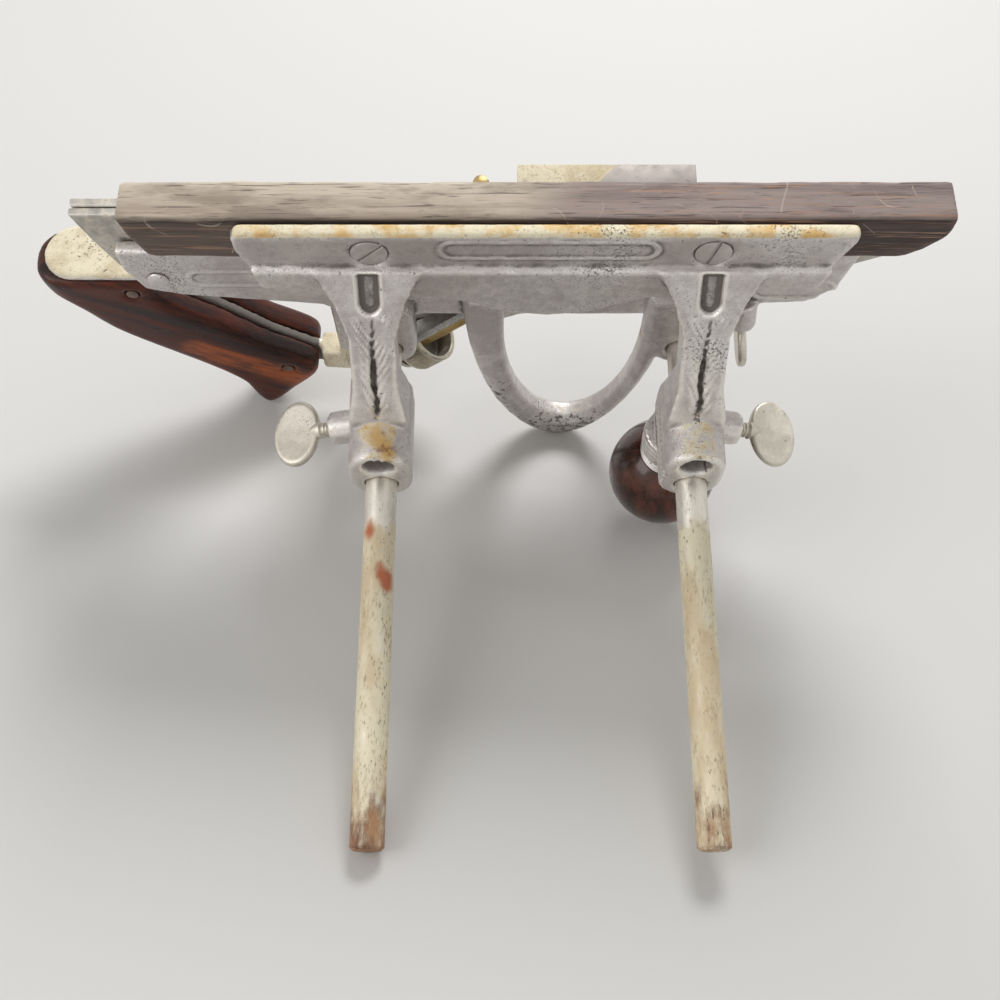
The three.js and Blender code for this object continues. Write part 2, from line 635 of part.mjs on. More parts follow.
const web = new THREE.BoxGeometry(
  gauge.socketRadius, gauge.y - mainNear, gauge.socketTop - gauge.socketLow);
web.translate(gauge.x, (gauge.y + mainNear) / 2, (gauge.socketTop + gauge.socketLow) / 2);
mainStock = mainStock.add(toSolid(web));
const gaugeBore = pin(gauge.postRadius + fit, -overrun, gauge.socketTop - gauge.socketLow + overrun, sides);
const gaugeThumbRoot = new THREE.Vector3(gauge.x, gauge.y, gauge.thumbZ);
mainStock = cutAway(mainStock,
  slab(disc(-rodX, 0, boreRadius), mainNear - overrun, mainNear + stock.socketLength + overrun),
  slab(disc(rodX, 0, boreRadius), mainNear - overrun, mainNear + stock.socketLength + overrun),
  aimed(pin(feedScrew.radius + fit, -lugHalf - overrun, lugHalf + overrun, sides / 2), screwRoot, feed),
  aimed(gaugeBore, gaugeLow, upward),
  aimed(pin(shankRadius + shankFit, 0, gauge.socketRadius + overrun, sides / 2), gaugeThumbRoot, outward));

// Handle: one piece of rosewood with a slot for the metal frame, held by two cross pins
const toteSteps = 40;
const slotShares = [
  [0.1, -0.1], ...frameBackShares.slice(1), [1.22, 0.8], [1.3, 0.1], [0.5, -0.1],
];
const slotShift = fit + fit / 2;
const slotShape = placed(slotShares, [tote.rearX - slotShift, tote.top - slotShift], toteSize);
const totePin = { radius: 1.9 };
const totePinShares = { upper: [0.369, 0.078], lower: [0.871, 0.667] };
const toteNear = tote.middleY - tote.thick / 2;
const toteFar = tote.middleY + tote.thick / 2;
const toteTopCut = new THREE.BoxGeometry(2 * tote.length, 2 * tote.thick, tote.drop);
toteTopCut.translate(tote.rearX + tote.length / 2, tote.middleY, tote.top + tote.drop / 2);
const totePlan = roundEnded(
  tote.rearX, tote.rearX + 2 * tote.length, tote.thick / 2, tote.top - 2 * tote.drop, 2 * tote.top, 0);
let toteBody = cutAway(
  toSolid(slab(smoothOutline(toteOutline, toteSteps), toteNear, toteFar, tote.bevel))
    .intersect(toSolid(totePlan)),
  slab(slotShape, frameNear - fit, frameFar + fit),
  toteTopCut);
for (const [place, [alongShare, downShare]] of Object.entries(totePinShares)) {
  const x = tote.rearX + alongShare * tote.length;
  const z = tote.top - downShare * tote.drop;
  const hole = slab(disc(x, z, totePin.radius + fit), toteNear - overrun, toteFar + overrun);
  toteBody = cutAway(toteBody, hole);
  mainStock = cutAway(mainStock, hole);
  add(`tote_pin_${place}`, slab(disc(x, z, totePin.radius), toteNear + fit, toteFar - fit), finish.steel);
}
add('tote', toteBody, finish.rosewood);

// Cutter: a flat steel blade bedded on the slope of the rear skates, with a notch for the yoke
const across = new THREE.Vector3(Math.sin(bed), 0, -Math.cos(bed));
const halfBlade = cutter.thick / 2;
const edge = new THREE.Vector3(mouthX + cutter.proud * slope, 0, soleHeight + cutter.proud)
  .addScaledVector(feed, halfBlade);
const bladePoint = (back, forward) => {
  const p = edge.clone().addScaledVector(feed, -back).addScaledVector(across, forward);
  return [p.x, p.z];
};
const cutterOutline = [
  bladePoint(0, halfBlade), bladePoint(cutter.length, halfBlade),
  bladePoint(cutter.length, -halfBlade), bladePoint(cutter.bevelLength, -halfBlade),
];
const nutMouth = new THREE.Vector3(feedNut.x, feedNut.y, feedNut.z);
const yoke = { thick: 2, hubLength: 4, flange: 7, flangeThick: 1.6, rim: 6.6 };
const hubStart = feedNut.depth + feedNut.floor;
const yokeMiddle = hubStart + yoke.hubLength / 2;
const fromEdge = nutMouth.clone().sub(edge);
const yokeBack = yokeMiddle - fromEdge.dot(feed);
const reach = fromEdge.dot(across) - halfBlade;
const notchHalf = yoke.thick / 2 + fit;
const notch = slab([
  bladePoint(yokeBack - notchHalf, halfBlade - cutter.notch),
  bladePoint(yokeBack - notchHalf, halfBlade + overrun),
  bladePoint(yokeBack + notchHalf, halfBlade + overrun),
  bladePoint(yokeBack + notchHalf, halfBlade - cutter.notch),
], slidingSkateNear - overrun, mainNear + overrun);
add('cutter', cutAway(toSolid(slab(cutterOutline, slidingSkateNear, mainNear - fit)), notch), finish.steel);

// Adjusting nut: a knurled cup on the feed screw, whose groove carries the yoke
const nutBore = feedScrew.radius + fit;
const flangeStart = hubStart + yoke.hubLength;
const nutEnd = flangeStart + yoke.flangeThick;
const nutProfile = [
  [nutBore, feedNut.depth], [feedNut.inner, feedNut.depth], [feedNut.inner, 0], [feedNut.outer, 0],
  [feedNut.outer, hubStart], [feedNut.hub, hubStart], [feedNut.hub, flangeStart],
  [yoke.flange, flangeStart], [yoke.flange, nutEnd], [nutBore, nutEnd], [nutBore, feedNut.depth],
];
add('adjusting_nut', aimed(turned(nutProfile), nutMouth, feedBack), finish.nickel);

// Yoke: a small plate between the nut's groove and the notch in the cutter
const yokeShape = new THREE.Shape([
  [-yoke.rim, -yoke.rim], [-yoke.rim, yoke.rim], [yoke.rim, yoke.rim],
  [reach + cutter.notch - fit, mainNear - fit - feedNut.y],
  [reach + cutter.notch - fit, slidingSkateNear - feedNut.y],
  [reach - cutter.thick, slidingSkateNear - feedNut.y], [reach / 2, -yoke.rim],
].map(([q, y]) => new THREE.Vector2(q, y)));
const yokePlate = new THREE.ExtrudeGeometry(yokeShape, { depth: yoke.thick, bevelEnabled: false });
yokePlate.translate(0, 0, -yoke.thick / 2);
const yokeFrame = new THREE.Matrix4().makeBasis(
  across.clone().negate(), new THREE.Vector3(0, 1, 0), feedBack);
yokePlate.applyMatrix4(yokeFrame);
const yokePlace = nutMouth.clone().addScaledVector(feedBack, yokeMiddle);
yokePlate.translate(yokePlace.x, yokePlace.y, yokePlace.z);
const yokeHole = aimed(
  pin(feedNut.hub + fit, -yoke.thick, yoke.thick), yokePlace, feedBack);
add('feed_yoke', cutAway(toSolid(yokePlate), yokeHole), finish.steel);

const feedScrewLength = (feedScrew.lugX - feedNut.x) / Math.cos(bed) + nutEnd + overrun;
add('feed_screw', aimed(
  pin(feedScrew.radius, -lugHalf - overrun, feedScrewLength, sides / 2), screwRoot, feedBack), finish.brass);

// Cutter clamp: a bolt through the stock whose flat head bears on the cutter, with a wing nut
const clamp = {
  x: 9.5, z: 30, radius: 2.6, headThick: 3, headRear: 11, headFront: 4, headHigh: 10, end: 76,
  hubRadius: 5, hubLength: 5, wingReach: 12, wingThick: 2.4, wingHigh: 6,
};
const clampHead = new THREE.BoxGeometry(clamp.headRear + clamp.headFront, clamp.headThick, clamp.headHigh);
clampHead.translate(clamp.x + (clamp.headFront - clamp.headRear) / 2, slidingFar - clamp.headThick / 2, clamp.z);
const clampHole = slab(disc(clamp.x, clamp.z, clamp.radius + fit), mainNear - overrun, mainFar + overrun);
mainStock = cutAway(mainStock, clampHole);
add('clamp_bolt', join(clampHead,
  slab(disc(clamp.x, clamp.z, clamp.radius), slidingFar - clamp.headThick, clamp.end)), finish.steel);
const wingNear = mainFar + fit;
const wings = new THREE.BoxGeometry(2 * clamp.wingReach, clamp.wingHigh, clamp.wingThick);
wings.translate(clamp.x, wingNear + clamp.hubLength, clamp.z);
add('wing_nut', cutAway(
  join(slab(disc(clamp.x, clamp.z, clamp.hubRadius), wingNear, wingNear + clamp.hubLength), wings),
  slab(disc(clamp.x, clamp.z, clamp.radius + fit), mainNear, clamp.end + overrun)), finish.nickel);

// Depth gauge: a long foot on a post that slides in the stock's socket, with its thumb screw
const gaugeFoot = new THREE.BoxGeometry(gauge.footLength, gauge.footWidth, gauge.footThick);
gaugeFoot.translate(gauge.footRearX + gauge.footLength / 2, gauge.y, gauge.top - gauge.footThick / 2);
const gaugePost = pin(gauge.postRadius, gauge.postEnd, gauge.top - gauge.footThick / 2, sides);
add('depth_gauge', join(gaugeFoot, aimed(gaugePost, new THREE.Vector3(gauge.x, gauge.y, 0), upward)),
  finish.nickel);
add('gauge_thumb', thumbScrew(gaugeThumbRoot, outward, towardsToe, {
  tip: gauge.postRadius + fit, centre: gauge.thumbCentre, radius: gauge.thumbRadius,
}), finish.nickel);

// Set screws that hold the rods in the stock's sockets
const setScrew = { radius: 2.2, y: 74, proud: 1, slot: 0.8, slotDepth: 1 };
const socketTop = slider.low + bossRadius;
for (const { end, side } of ends) {
  const origin = new THREE.Vector3(side * rodX, setScrew.y, 0);
  const shank = aimed(pin(setScrew.radius, boreRadius, socketTop + setScrew.proud, sides / 2), origin, upward);
  const slot = new THREE.BoxGeometry(3 * setScrew.radius, setScrew.slot, 2 * setScrew.slotDepth);
  slot.translate(origin.x, origin.y, socketTop + setScrew.proud);
  add(`rod_set_screw_${end}`, cutAway(toSolid(shank), slot), finish.steel);
  mainStock = cutAway(mainStock,
    aimed(pin(setScrew.radius + shankFit, 0, socketTop + overrun, sides / 2), origin, upward));
}

// Stop screw of brass, standing in a lug on the far side of the stock
const stop = { x: -16.5, y: 70.4, radius: 2.4, low: 36, top: 51.4, lugRadius: 5, lugLow: 30 };
const stopFoot = new THREE.Vector3(stop.x, stop.y, 0);
mainStock = mainStock.add(toSolid(aimed(pin(stop.lugRadius, stop.lugLow, castingTop - fit, sides / 2), stopFoot, upward)));
mainStock = cutAway(mainStock,
  aimed(pin(stop.radius + shankFit, stop.low - fit, castingTop + overrun, sides / 2), stopFoot, upward));
add('stop_screw', aimed(pin(stop.radius, stop.low, stop.top, sides / 2), stopFoot, upward), finish.brass);

// Spur: a three-armed scoring blade on the far side, turned with its blank place at the sole
const spur = { x: 60, z: 47, arm: 11, width: 5, thick: 1.4, screwRadius: 1.8, headRadius: 3, headThick: 1.2 };
const spurNear = mainFar + fit;
const spurFar = spurNear + spur.thick;
const spurArms = join(
  slab([[-spur.arm, -spur.width / 2], [spur.arm, -spur.width / 2], [spur.arm, spur.width / 2],
    [-spur.arm, spur.width / 2]], spurNear, spurFar),
  slab([[-spur.width / 2, -spur.arm], [spur.width / 2, -spur.arm], [spur.width / 2, 0],
    [-spur.width / 2, 0]], spurNear, spurFar),
  slab(disc(0, 0, spur.width), spurNear, spurFar));
const spurHole = slab(disc(0, 0, spur.screwRadius + fit), mainNear - overrun, spurFar + overrun);
const spurSolid = cutAway(spurArms, spurHole).translate([spur.x, 0, spur.z]);
add('spur', spurSolid, finish.steel);
const spurBoss = 4;
mainStock = mainStock.add(toSolid(slab(disc(spur.x, spur.z - spurBoss / 2, spur.width), mainNear, mainFar)));
mainStock = cutAway(mainStock, slab(disc(spur.x, spur.z, spur.screwRadius + shankFit), mainNear - overrun, mainFar + overrun));
add('spur_screw', join(
  slab(disc(spur.x, spur.z, spur.screwRadius), mainNear, spurFar + fit + spur.headThick),
  slab(disc(spur.x, spur.z, spur.headRadius), spurFar + fit, spurFar + fit + spur.headThick)), finish.steel);

mainStock = cutAway(mainStock, ...rivetHoles(mainNear, mainFar));
rivetPlaces.forEach((x, i) => {
  add(`main_rivet_${rivetNames[i]}`, rivetSolid(x, mainSkateNear, mainFar), finish.nickel);
});
add('main_stock', mainStock, finish.nickel);

// Resting: the plane is laid on its handle's horn, the foot of its arch and the rear rod's
// end. The plane through the three contacts is found by turning it until it settles.
const hornShare = 0.729;
const hornTip = new THREE.Vector3(
  tote.rearX + hornShare * tote.length, toteNear + tote.bevel, tote.top - tote.drop);
const archFoot = new THREE.Vector3(arch.x, archNear + arch.bevel, arch.low);
const rodEnd = new THREE.Vector3(-rodX, rodTip + rodChamfer, 0);
const settling = 8;
const normal = new THREE.Vector3(0, 0, 1);
for (let i = 0; i < settling; i += 1) {
  const rodDown = normal.clone().setY(0).normalize();
  const rodContact = rodEnd.clone().addScaledVector(rodDown, -rodRadius);
  normal.crossVectors(rodContact.sub(hornTip), archFoot.clone().sub(hornTip)).normalize();
  if (normal.z < 0) normal.negate();
}
plane.quaternion.setFromUnitVectors(normal, new THREE.Vector3(0, 0, 1));
plane.updateMatrixWorld(true);
const box = new THREE.Box3().setFromObject(plane, true);
const middle = box.getCenter(new THREE.Vector3());
plane.position.set(-middle.x, -middle.y, -box.min.z);
const laid = new THREE.Group();
laid.add(plane);
laid.updateMatrixWorld(true);

export default laid;
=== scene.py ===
# A combination plane lying upside down on a pale bench: castings of nickel-plated iron, thin
# steel skates, a wooden fence strip, and a handle and knob of rosewood. The sections follow
# the order in which such a plane is put together. Sizes are in millimetres, in the plane's
# own frame: x towards the toe, y from the fence to the main stock, z towards the sole.

import json
import math

import bmesh
import bpy
import numpy as np
from mathutils import Matrix, Vector


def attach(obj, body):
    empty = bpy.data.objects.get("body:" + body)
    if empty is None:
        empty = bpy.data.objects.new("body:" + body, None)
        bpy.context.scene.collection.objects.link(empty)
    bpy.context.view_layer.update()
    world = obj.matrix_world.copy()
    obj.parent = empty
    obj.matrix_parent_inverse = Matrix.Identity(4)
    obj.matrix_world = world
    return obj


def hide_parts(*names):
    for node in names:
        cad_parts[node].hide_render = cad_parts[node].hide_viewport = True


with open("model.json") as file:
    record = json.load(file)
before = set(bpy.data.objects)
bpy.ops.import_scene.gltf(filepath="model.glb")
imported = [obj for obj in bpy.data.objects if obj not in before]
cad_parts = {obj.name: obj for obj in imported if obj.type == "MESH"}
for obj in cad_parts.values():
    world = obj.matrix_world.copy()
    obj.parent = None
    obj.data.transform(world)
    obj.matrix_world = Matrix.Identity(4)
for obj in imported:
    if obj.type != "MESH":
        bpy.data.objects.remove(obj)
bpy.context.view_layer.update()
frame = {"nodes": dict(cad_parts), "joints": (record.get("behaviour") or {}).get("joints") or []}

# How the plane lies. Its own axes are the ways in which its sections slide, and the root of
# the sliding section's rear thumb screw, over the rear rod, says where its middle is.
mm = 0.001
rod_spacing = 94
rod_x = rod_spacing / 2
slider_screw_y = 45.9
joints = {joint["name"]: joint for joint in frame["joints"]}
to_main = -Vector(joints["slider_slide"]["axis"]).normalized()
to_sole = Vector(joints["depth_gauge_slide"]["axis"]).normalized()
to_toe = to_main.cross(to_sole)
screw_root = Vector(joints["slider_thumb_rear_turn"]["pos_m"])
middle = screw_root + (rod_x * to_toe - slider_screw_y * to_main) * mm
turned = Matrix((to_toe, to_main, to_sole)).transposed()
lie = Matrix.Translation(middle) @ turned.to_4x4() @ Matrix.Scale(mm, 4)
to_own = lie.inverted()

# The photograph's view: from the fence side and above, a little to the left of the middle,
# with a lens that holds the whole plane.
scene = bpy.context.scene
scene.view_settings.view_transform = "Standard"
eye = Vector((-11, -147, 335.5))
view_tilt = math.radians(22.5)
camera = bpy.data.objects.new("camera", bpy.data.cameras.new("camera"))
camera.data.sensor_width = 36
camera.data.lens = 43.2
camera.data.clip_start = 0.01
facing = turned @ Matrix.Rotation(view_tilt, 3, "X")
camera.matrix_world = Matrix.Translation(lie @ eye) @ facing.to_4x4()
scene.collection.objects.link(camera)
scene.camera = camera


# Bench and light: a plain pale sheet, a broad soft lamp from behind the plane, a weaker one
# from the left and an even sky, which polished metal also shows.
def feed(target, inputs):
    """Links a node's inputs to sockets, or sets them to values."""
    for socket, value in inputs.items():
        if isinstance(value, bpy.types.NodeSocket):
            target.id_data.links.new(value, target.inputs[socket])
        else:
            target.inputs[socket].default_value = value


def node(tree, kind, inputs=None, **settings):
    made = tree.nodes.new(kind)
    for setting, value in settings.items():
        setattr(made, setting, value)
    feed(made, inputs or {})
    return made


def new_material(name):
    material = bpy.data.materials.new(name)
    material.use_nodes = True
    tree = material.node_tree
    return material, tree, tree.nodes["Principled BSDF"]


lamp_aim = Vector((0, 0, 0.05))


def lamp(name, place, width, power):
    light = bpy.data.objects.new(name, bpy.data.lights.new(name, "AREA"))
    light.data.size = width
    light.data.energy = power
    light.location = place
    light.rotation_euler = (lamp_aim - Vector(place)).to_track_quat("-Z", "Y").to_euler()
    scene.collection.objects.link(light)


bench_half = 2.5
bench_shape = bmesh.new()
bmesh.ops.create_grid(bench_shape, x_segments=1, y_segments=1, size=bench_half)
bench = bpy.data.objects.new("bench", bpy.data.meshes.new("bench"))
bench_shape.to_mesh(bench.data)
bench_finish, _, bench_shader = new_material("bench sheet")
feed(bench_shader, {"Base Color": (0.71, 0.7, 0.685, 1), "Roughness": 0.8})
bench.data.materials.append(bench_finish)
scene.collection.objects.link(bench)

lamp("back lamp", (0.2, 0.75, 1.0), width=0.5, power=9.6)
lamp("left lamp", (-0.9, -0.35, 0.75), width=0.7, power=4.0)

sky_lighting = 0.42
sky_shown = 0.85
sky = bpy.data.worlds.new("sky")
sky.use_nodes = True
scene.world = sky
sky_tree = sky.node_tree
rays = node(sky_tree, "ShaderNodeLightPath").outputs
seen = node(sky_tree, "ShaderNodeMath", {0: rays["Is Camera Ray"], 1: rays["Is Glossy Ray"]},
            operation="MAXIMUM")
sky_level = node(sky_tree, "ShaderNodeMapRange",
                 {"Value": seen.outputs[0], "To Min": sky_lighting, "To Max": sky_shown})
feed(sky_tree.nodes["Background"],
     {"Color": (1, 0.99, 0.97, 1), "Strength": sky_level.outputs["Result"]})


# Long arm rods: drawn steel, once nickelled, with brown rust creeping in from the free ends.
# Each is a plain round bar with its ends turned to a small chamfer.
def group(name, inputs, outputs):
    tree = bpy.data.node_groups.new(name, "ShaderNodeTree")
    for socket, kind, value in inputs:
        made = tree.interface.new_socket(socket, in_out="INPUT", socket_type=kind)
        if value is not None:
            made.default_value = value
    for socket, kind in outputs:
        tree.interface.new_socket(socket, in_out="OUTPUT", socket_type=kind)
    return tree, tree.nodes.new("NodeGroupInput"), tree.nodes.new("NodeGroupOutput")


def reckon(operation, *values):
    """A math node's result, in the tree of the first value that is a socket."""
    tree = next(value.id_data for value in values if isinstance(value, bpy.types.NodeSocket))
    made = node(tree, "ShaderNodeMath", dict(enumerate(values)), operation=operation)
    return made.outputs[0]


def plus(first, second):
    return reckon("ADD", first, second)


def less(first, second):
    return reckon("SUBTRACT", first, second)


def times(first, second):
    return reckon("MULTIPLY", first, second)


def most(first, second):
    return reckon("MAXIMUM", first, second)


def swayed(value, by, amount):
    """The value, raised and lowered by a cloud."""
    return plus(value, times(less(by, 0.5), amount))


def mix(factor, first, second):
    mixed = node(factor.id_data, "ShaderNodeMix", {0: factor, 6: first, 7: second},
                 data_type="RGBA")
    return mixed.outputs[2]


def band(value, low, high, start=0.0, end=1.0):
    """Eases from start to end while the value goes from low to high."""
    ranged = node(value.id_data, "ShaderNodeMapRange",
                  {"Value": value, "From Min": low, "From Max": high, "To Min": start,
                   "To Max": end}, interpolation_type="SMOOTHSTEP")
    return ranged.outputs["Result"]


def cloud(vector, scale, detail=3.0, rough=0.5, distortion=0.0):
    made = node(vector.id_data, "ShaderNodeTexNoise",
                {"Vector": vector, "Scale": scale, "Detail": detail, "Roughness": rough,
                 "Distortion": distortion})
    return made.outputs["Fac"]


def along(tree, lean=0.0, stretch=1.0, cross=1.0):
    """Object coordinates in the plane's own axes, drawn out along x and y."""
    turn = (turned @ Matrix.Rotation(lean, 3, "Y")).to_euler()
    spot = node(tree, "ShaderNodeTexCoord").outputs["Object"]
    mapped = node(tree, "ShaderNodeMapping",
                  {"Vector": spot, "Rotation": turn, "Scale": (stretch, cross, 1)},
                  vector_type="TEXTURE")
    return mapped.outputs["Vector"]


def marked(tree, mark):
    """What is painted on the mesh under that name."""
    return node(tree, "ShaderNodeAttribute", attribute_name=mark).outputs["Fac"]


def bumped(shader, height, relief, strength):
    bump = node(shader.id_data, "ShaderNodeBump",
                {"Height": height, "Distance": relief * mm, "Strength": strength})
    feed(shader, {"Normal": bump.outputs["Normal"]})


FLOAT, COLOUR, VECTOR = "NodeSocketFloat", "NodeSocketColor", "NodeSocketVector"
plating, plating_in, plating_out = group(
    "worn plating",
    [("Vector", VECTOR, None), ("Wear", FLOAT, 0.0), ("Tarnish", FLOAT, 0.0),
     ("Rust", FLOAT, 0.0), ("Stain", FLOAT, 0.0), ("Etched", FLOAT, 0.0), ("Pits", FLOAT, 0.5),
     ("Sand", FLOAT, 1.0), ("Bright", COLOUR, (0.76, 0.725, 0.7, 1)),
     ("Dull", COLOUR, (0.53, 0.49, 0.475, 1)), ("Stained", COLOUR, (0.68, 0.42, 0.12, 1)),
     ("Yellowed", COLOUR, (0.72, 0.62, 0.42, 1))],
    [("Color", COLOUR), ("Roughness", FLOAT), ("Metallic", FLOAT), ("Height", FLOAT)])
given = plating_in.outputs
place = given["Vector"]
blotches = cloud(place, 45, 5, 0.6)
patches = cloud(place, 130, 4, 0.55)
mottle = cloud(place, 320, 4, 0.6)
speckle = cloud(place, 1500, 3, 0.65)
sand = cloud(place, 2600, 2, 0.6)

shade = plus(times(blotches, 0.6), times(mottle, 0.4))
plate = mix(band(shade, 0.38, 0.62), given["Dull"], given["Bright"])
grit = times(band(sand, 0.5, 0.66, 0.0, 0.38), given["Sand"])
plate = mix(grit, plate, (0.3, 0.28, 0.27, 1))
# Proud edges are painted lighter, partly real wear and partly painted highlight. Hollows and
# negative wear marks are painted darker, partly grime and partly painted shade.
worn_and_highlit = band(given["Wear"], 0.12, 0.5)
plate = mix(times(worn_and_highlit, 0.75), plate, (0.9, 0.87, 0.8, 1))
shade_and_grime = band(swayed(times(given["Wear"], -1.0), mottle, 0.5), 0.03, 0.36)
plate = mix(times(shade_and_grime, 0.85), plate, (0.1, 0.085, 0.068, 1))

cream = band(swayed(given["Tarnish"], mottle, 1.2), 0.35, 0.75)
cream_colour = mix(band(patches, 0.36, 0.58), given["Yellowed"], (0.88, 0.8, 0.59, 1))
cream_grit = band(plus(times(speckle, 0.6), times(mottle, 0.4)), 0.5, 0.66, 0.0, 0.62)
cream_colour = mix(cream_grit, cream_colour, (0.42, 0.32, 0.18, 1))
plate = mix(times(cream, 0.9), plate, cream_colour)

stain = band(swayed(given["Stain"], patches, 1.1), 0.35, 0.95)
stain_colour = mix(band(mottle, 0.36, 0.5), (0.34, 0.14, 0.05, 1), given["Stained"])
plate = mix(times(stain, 0.9), plate, stain_colour)
rust = band(swayed(given["Rust"], cloud(place, 210, 6, 0.7), 1.6), 0.38, 0.86)
rust_colour = mix(band(mottle, 0.35, 0.65), (0.19, 0.085, 0.045, 1), (0.45, 0.25, 0.13, 1))
plate = mix(rust, plate, rust_colour)

pit_edge = less(0.94, times(given["Pits"], 0.26))
pit_place = plus(times(speckle, 0.7), times(blotches, 0.5))
scattered = band(less(pit_place, pit_edge), -0.12, -0.02)
etched_place = plus(cloud(place, 480, 4, 0.7), times(given["Etched"], 0.19))
pits = most(scattered, band(etched_place, 0.66, 0.71))
plate = mix(times(pits, 0.75), plate, (0.07, 0.058, 0.05, 1))

dirt = most(most(most(times(shade_and_grime, 0.7), rust), pits), times(stain, 0.9))
shine = less(band(mottle, 0.3, 0.7, 0.36, 0.5), times(worn_and_highlit, 0.1))
grain_height = times(plus(sand, times(mottle, 0.5)), given["Sand"])
feed(plating_out, {
    "Color": plate,
    "Roughness": plus(shine, times(most(dirt, cream), 0.25)),
    "Metallic": times(less(1.0, times(dirt, 0.8)), less(0.85, times(cream, 0.7))),
    "Height": less(grain_height, times(pits, 0.9)),
})


def plated(name, relief, stretch=1, cross=1, **values):
    """Worn plating, in which marks painted on the mesh add to the values given here."""
    material, tree, shader = new_material(name)
    look = node(tree, "ShaderNodeGroup", {"Vector": along(tree, 0, stretch, cross)},
                node_tree=plating)
    for mark in ("Wear", "Tarnish", "Rust", "Stain", "Etched"):
        values[mark] = plus(marked(tree, mark.lower()), values.get(mark, 0.0))
    feed(look, values)
    feed(shader, {"Base Color": look.outputs["Color"], "Roughness": look.outputs["Roughness"],
                  "Metallic": look.outputs["Metallic"]})
    bumped(shader, look.outputs["Height"], relief, 0.8)
    return material


def settle(shape, name, body, finish, nodes=(), place_by=lie, crease=40):
    """Makes a piece of the shape, laid as the plane lies, riding on its body."""
    if place_by:
        bmesh.ops.transform(shape, matrix=place_by, verts=shape.verts)
    bmesh.ops.remove_doubles(shape, verts=shape.verts, dist=0.002 * mm)
    bmesh.ops.recalc_face_normals(shape, faces=shape.faces)
    mesh = bpy.data.meshes.new(name)
    shape.to_mesh(mesh)
    shape.free()
    mesh.shade_smooth()
    mesh.set_sharp_from_angle(angle=math.radians(crease))
    mesh.materials.append(finish)
    piece = bpy.data.objects.new(name, mesh)
    scene.collection.objects.link(piece)
    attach(piece, body)
    if nodes:
        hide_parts(*nodes)
    return piece


def spun(profile, steps=48):
    """A turned shape about z from (radius, height) points."""
    shape = bmesh.new()
    points = [shape.verts.new((radius, 0, height)) for radius, height in profile]
    edges = [shape.edges.new(pair) for pair in zip(points, points[1:])]
    bmesh.ops.spin(shape, geom=points + edges, cent=(0, 0, 0), axis=(0, 0, 1), angle=math.tau,
                   steps=steps, use_merge=True, use_duplicate=False)
    bmesh.ops.remove_doubles(shape, verts=shape.verts, dist=0.001)
    return shape


def aimed(shape, start, way):
    """Turns a shape made along z to point along way from start."""
    turn = Vector((0, 0, 1)).rotation_difference(Vector(way)).to_matrix().to_4x4()
    bmesh.ops.transform(shape, matrix=Matrix.Translation(start) @ turn, verts=shape.verts)
    return shape


def paint(piece, marks_of):
    """Writes the marks that marks_of gives for each point of a piece, in the plane's axes."""
    for vertex in piece.data.vertices:
        for mark, value in marks_of(to_own @ vertex.co).items():
            layer = piece.data.attributes.get(mark)
            if not layer:
                layer = piece.data.attributes.new(mark, "FLOAT", "POINT")
            layer.data[vertex.index].value = value


rod = {"radius": 4.75, "tip": -110.5, "length": 209.5, "chamfer": 0.8, "rings": 60}
rod_barrel = rod["length"] - 2 * rod["chamfer"]
rod_cream = {"share": 0.68, "end": 98, "fade": 8}
tip_rust = {"rear": 0.85, "front": 0.66, "reach": 24}
red_spots = {"rear": ((91, -2.5, 4.5), (79, 0.5, 2.6), (75, 2.8, 3.2)),
             "front": ((58, 0.5, 2.5),)}
red_spot_width = 2.6
rod_finish = plated("rod nickel", 0.03, cross=3, Pits=0.4, Sand=0.25, Tarnish=0.1,
                    Bright=(0.84, 0.8, 0.72, 1), Dull=(0.62, 0.57, 0.5, 1),
                    Yellowed=(0.74, 0.6, 0.38, 1), Stained=(0.55, 0.13, 0.04, 1))
for end, x in (("rear", -rod_x), ("front", rod_x)):
    barrel = [(rod["radius"], rod["chamfer"] + step * rod_barrel / rod["rings"])
              for step in range(rod["rings"] + 1)]
    face = rod["radius"] - rod["chamfer"]
    bar = spun([(0, 0), (face, 0), *barrel, (face, rod["length"]), (0, rod["length"])])
    arm = settle(aimed(bar, (x, rod["tip"], 0), (0, 1, 0)), f"arm_rod_{end}", "main", rod_finish,
                 [f"rod_{end}"])

    def rod_marks(own):
        out = own.y - rod["tip"]
        spots = [math.exp(-((out - at) / reach) ** 2 - ((own.x - x - off) / red_spot_width) ** 2)
                 for at, off, reach in red_spots[end]]
        return {"rust": tip_rust[end] * math.exp(-(out / tip_rust["reach"]) ** 2),
                "tarnish": rod_cream["share"]
                * min(1, max(0, (rod_cream["end"] - out) / rod_cream["fade"])),
                "stain": sum(spots) if own.z > 0 else 0}

    paint(arm, rod_marks)


# Castings: poured in sand, so every corner is soft, then plated. Each is cast again over the
# solid of its own node at a finer grain, smoothed, and given its relief.
wear_and_shade_gain = 4


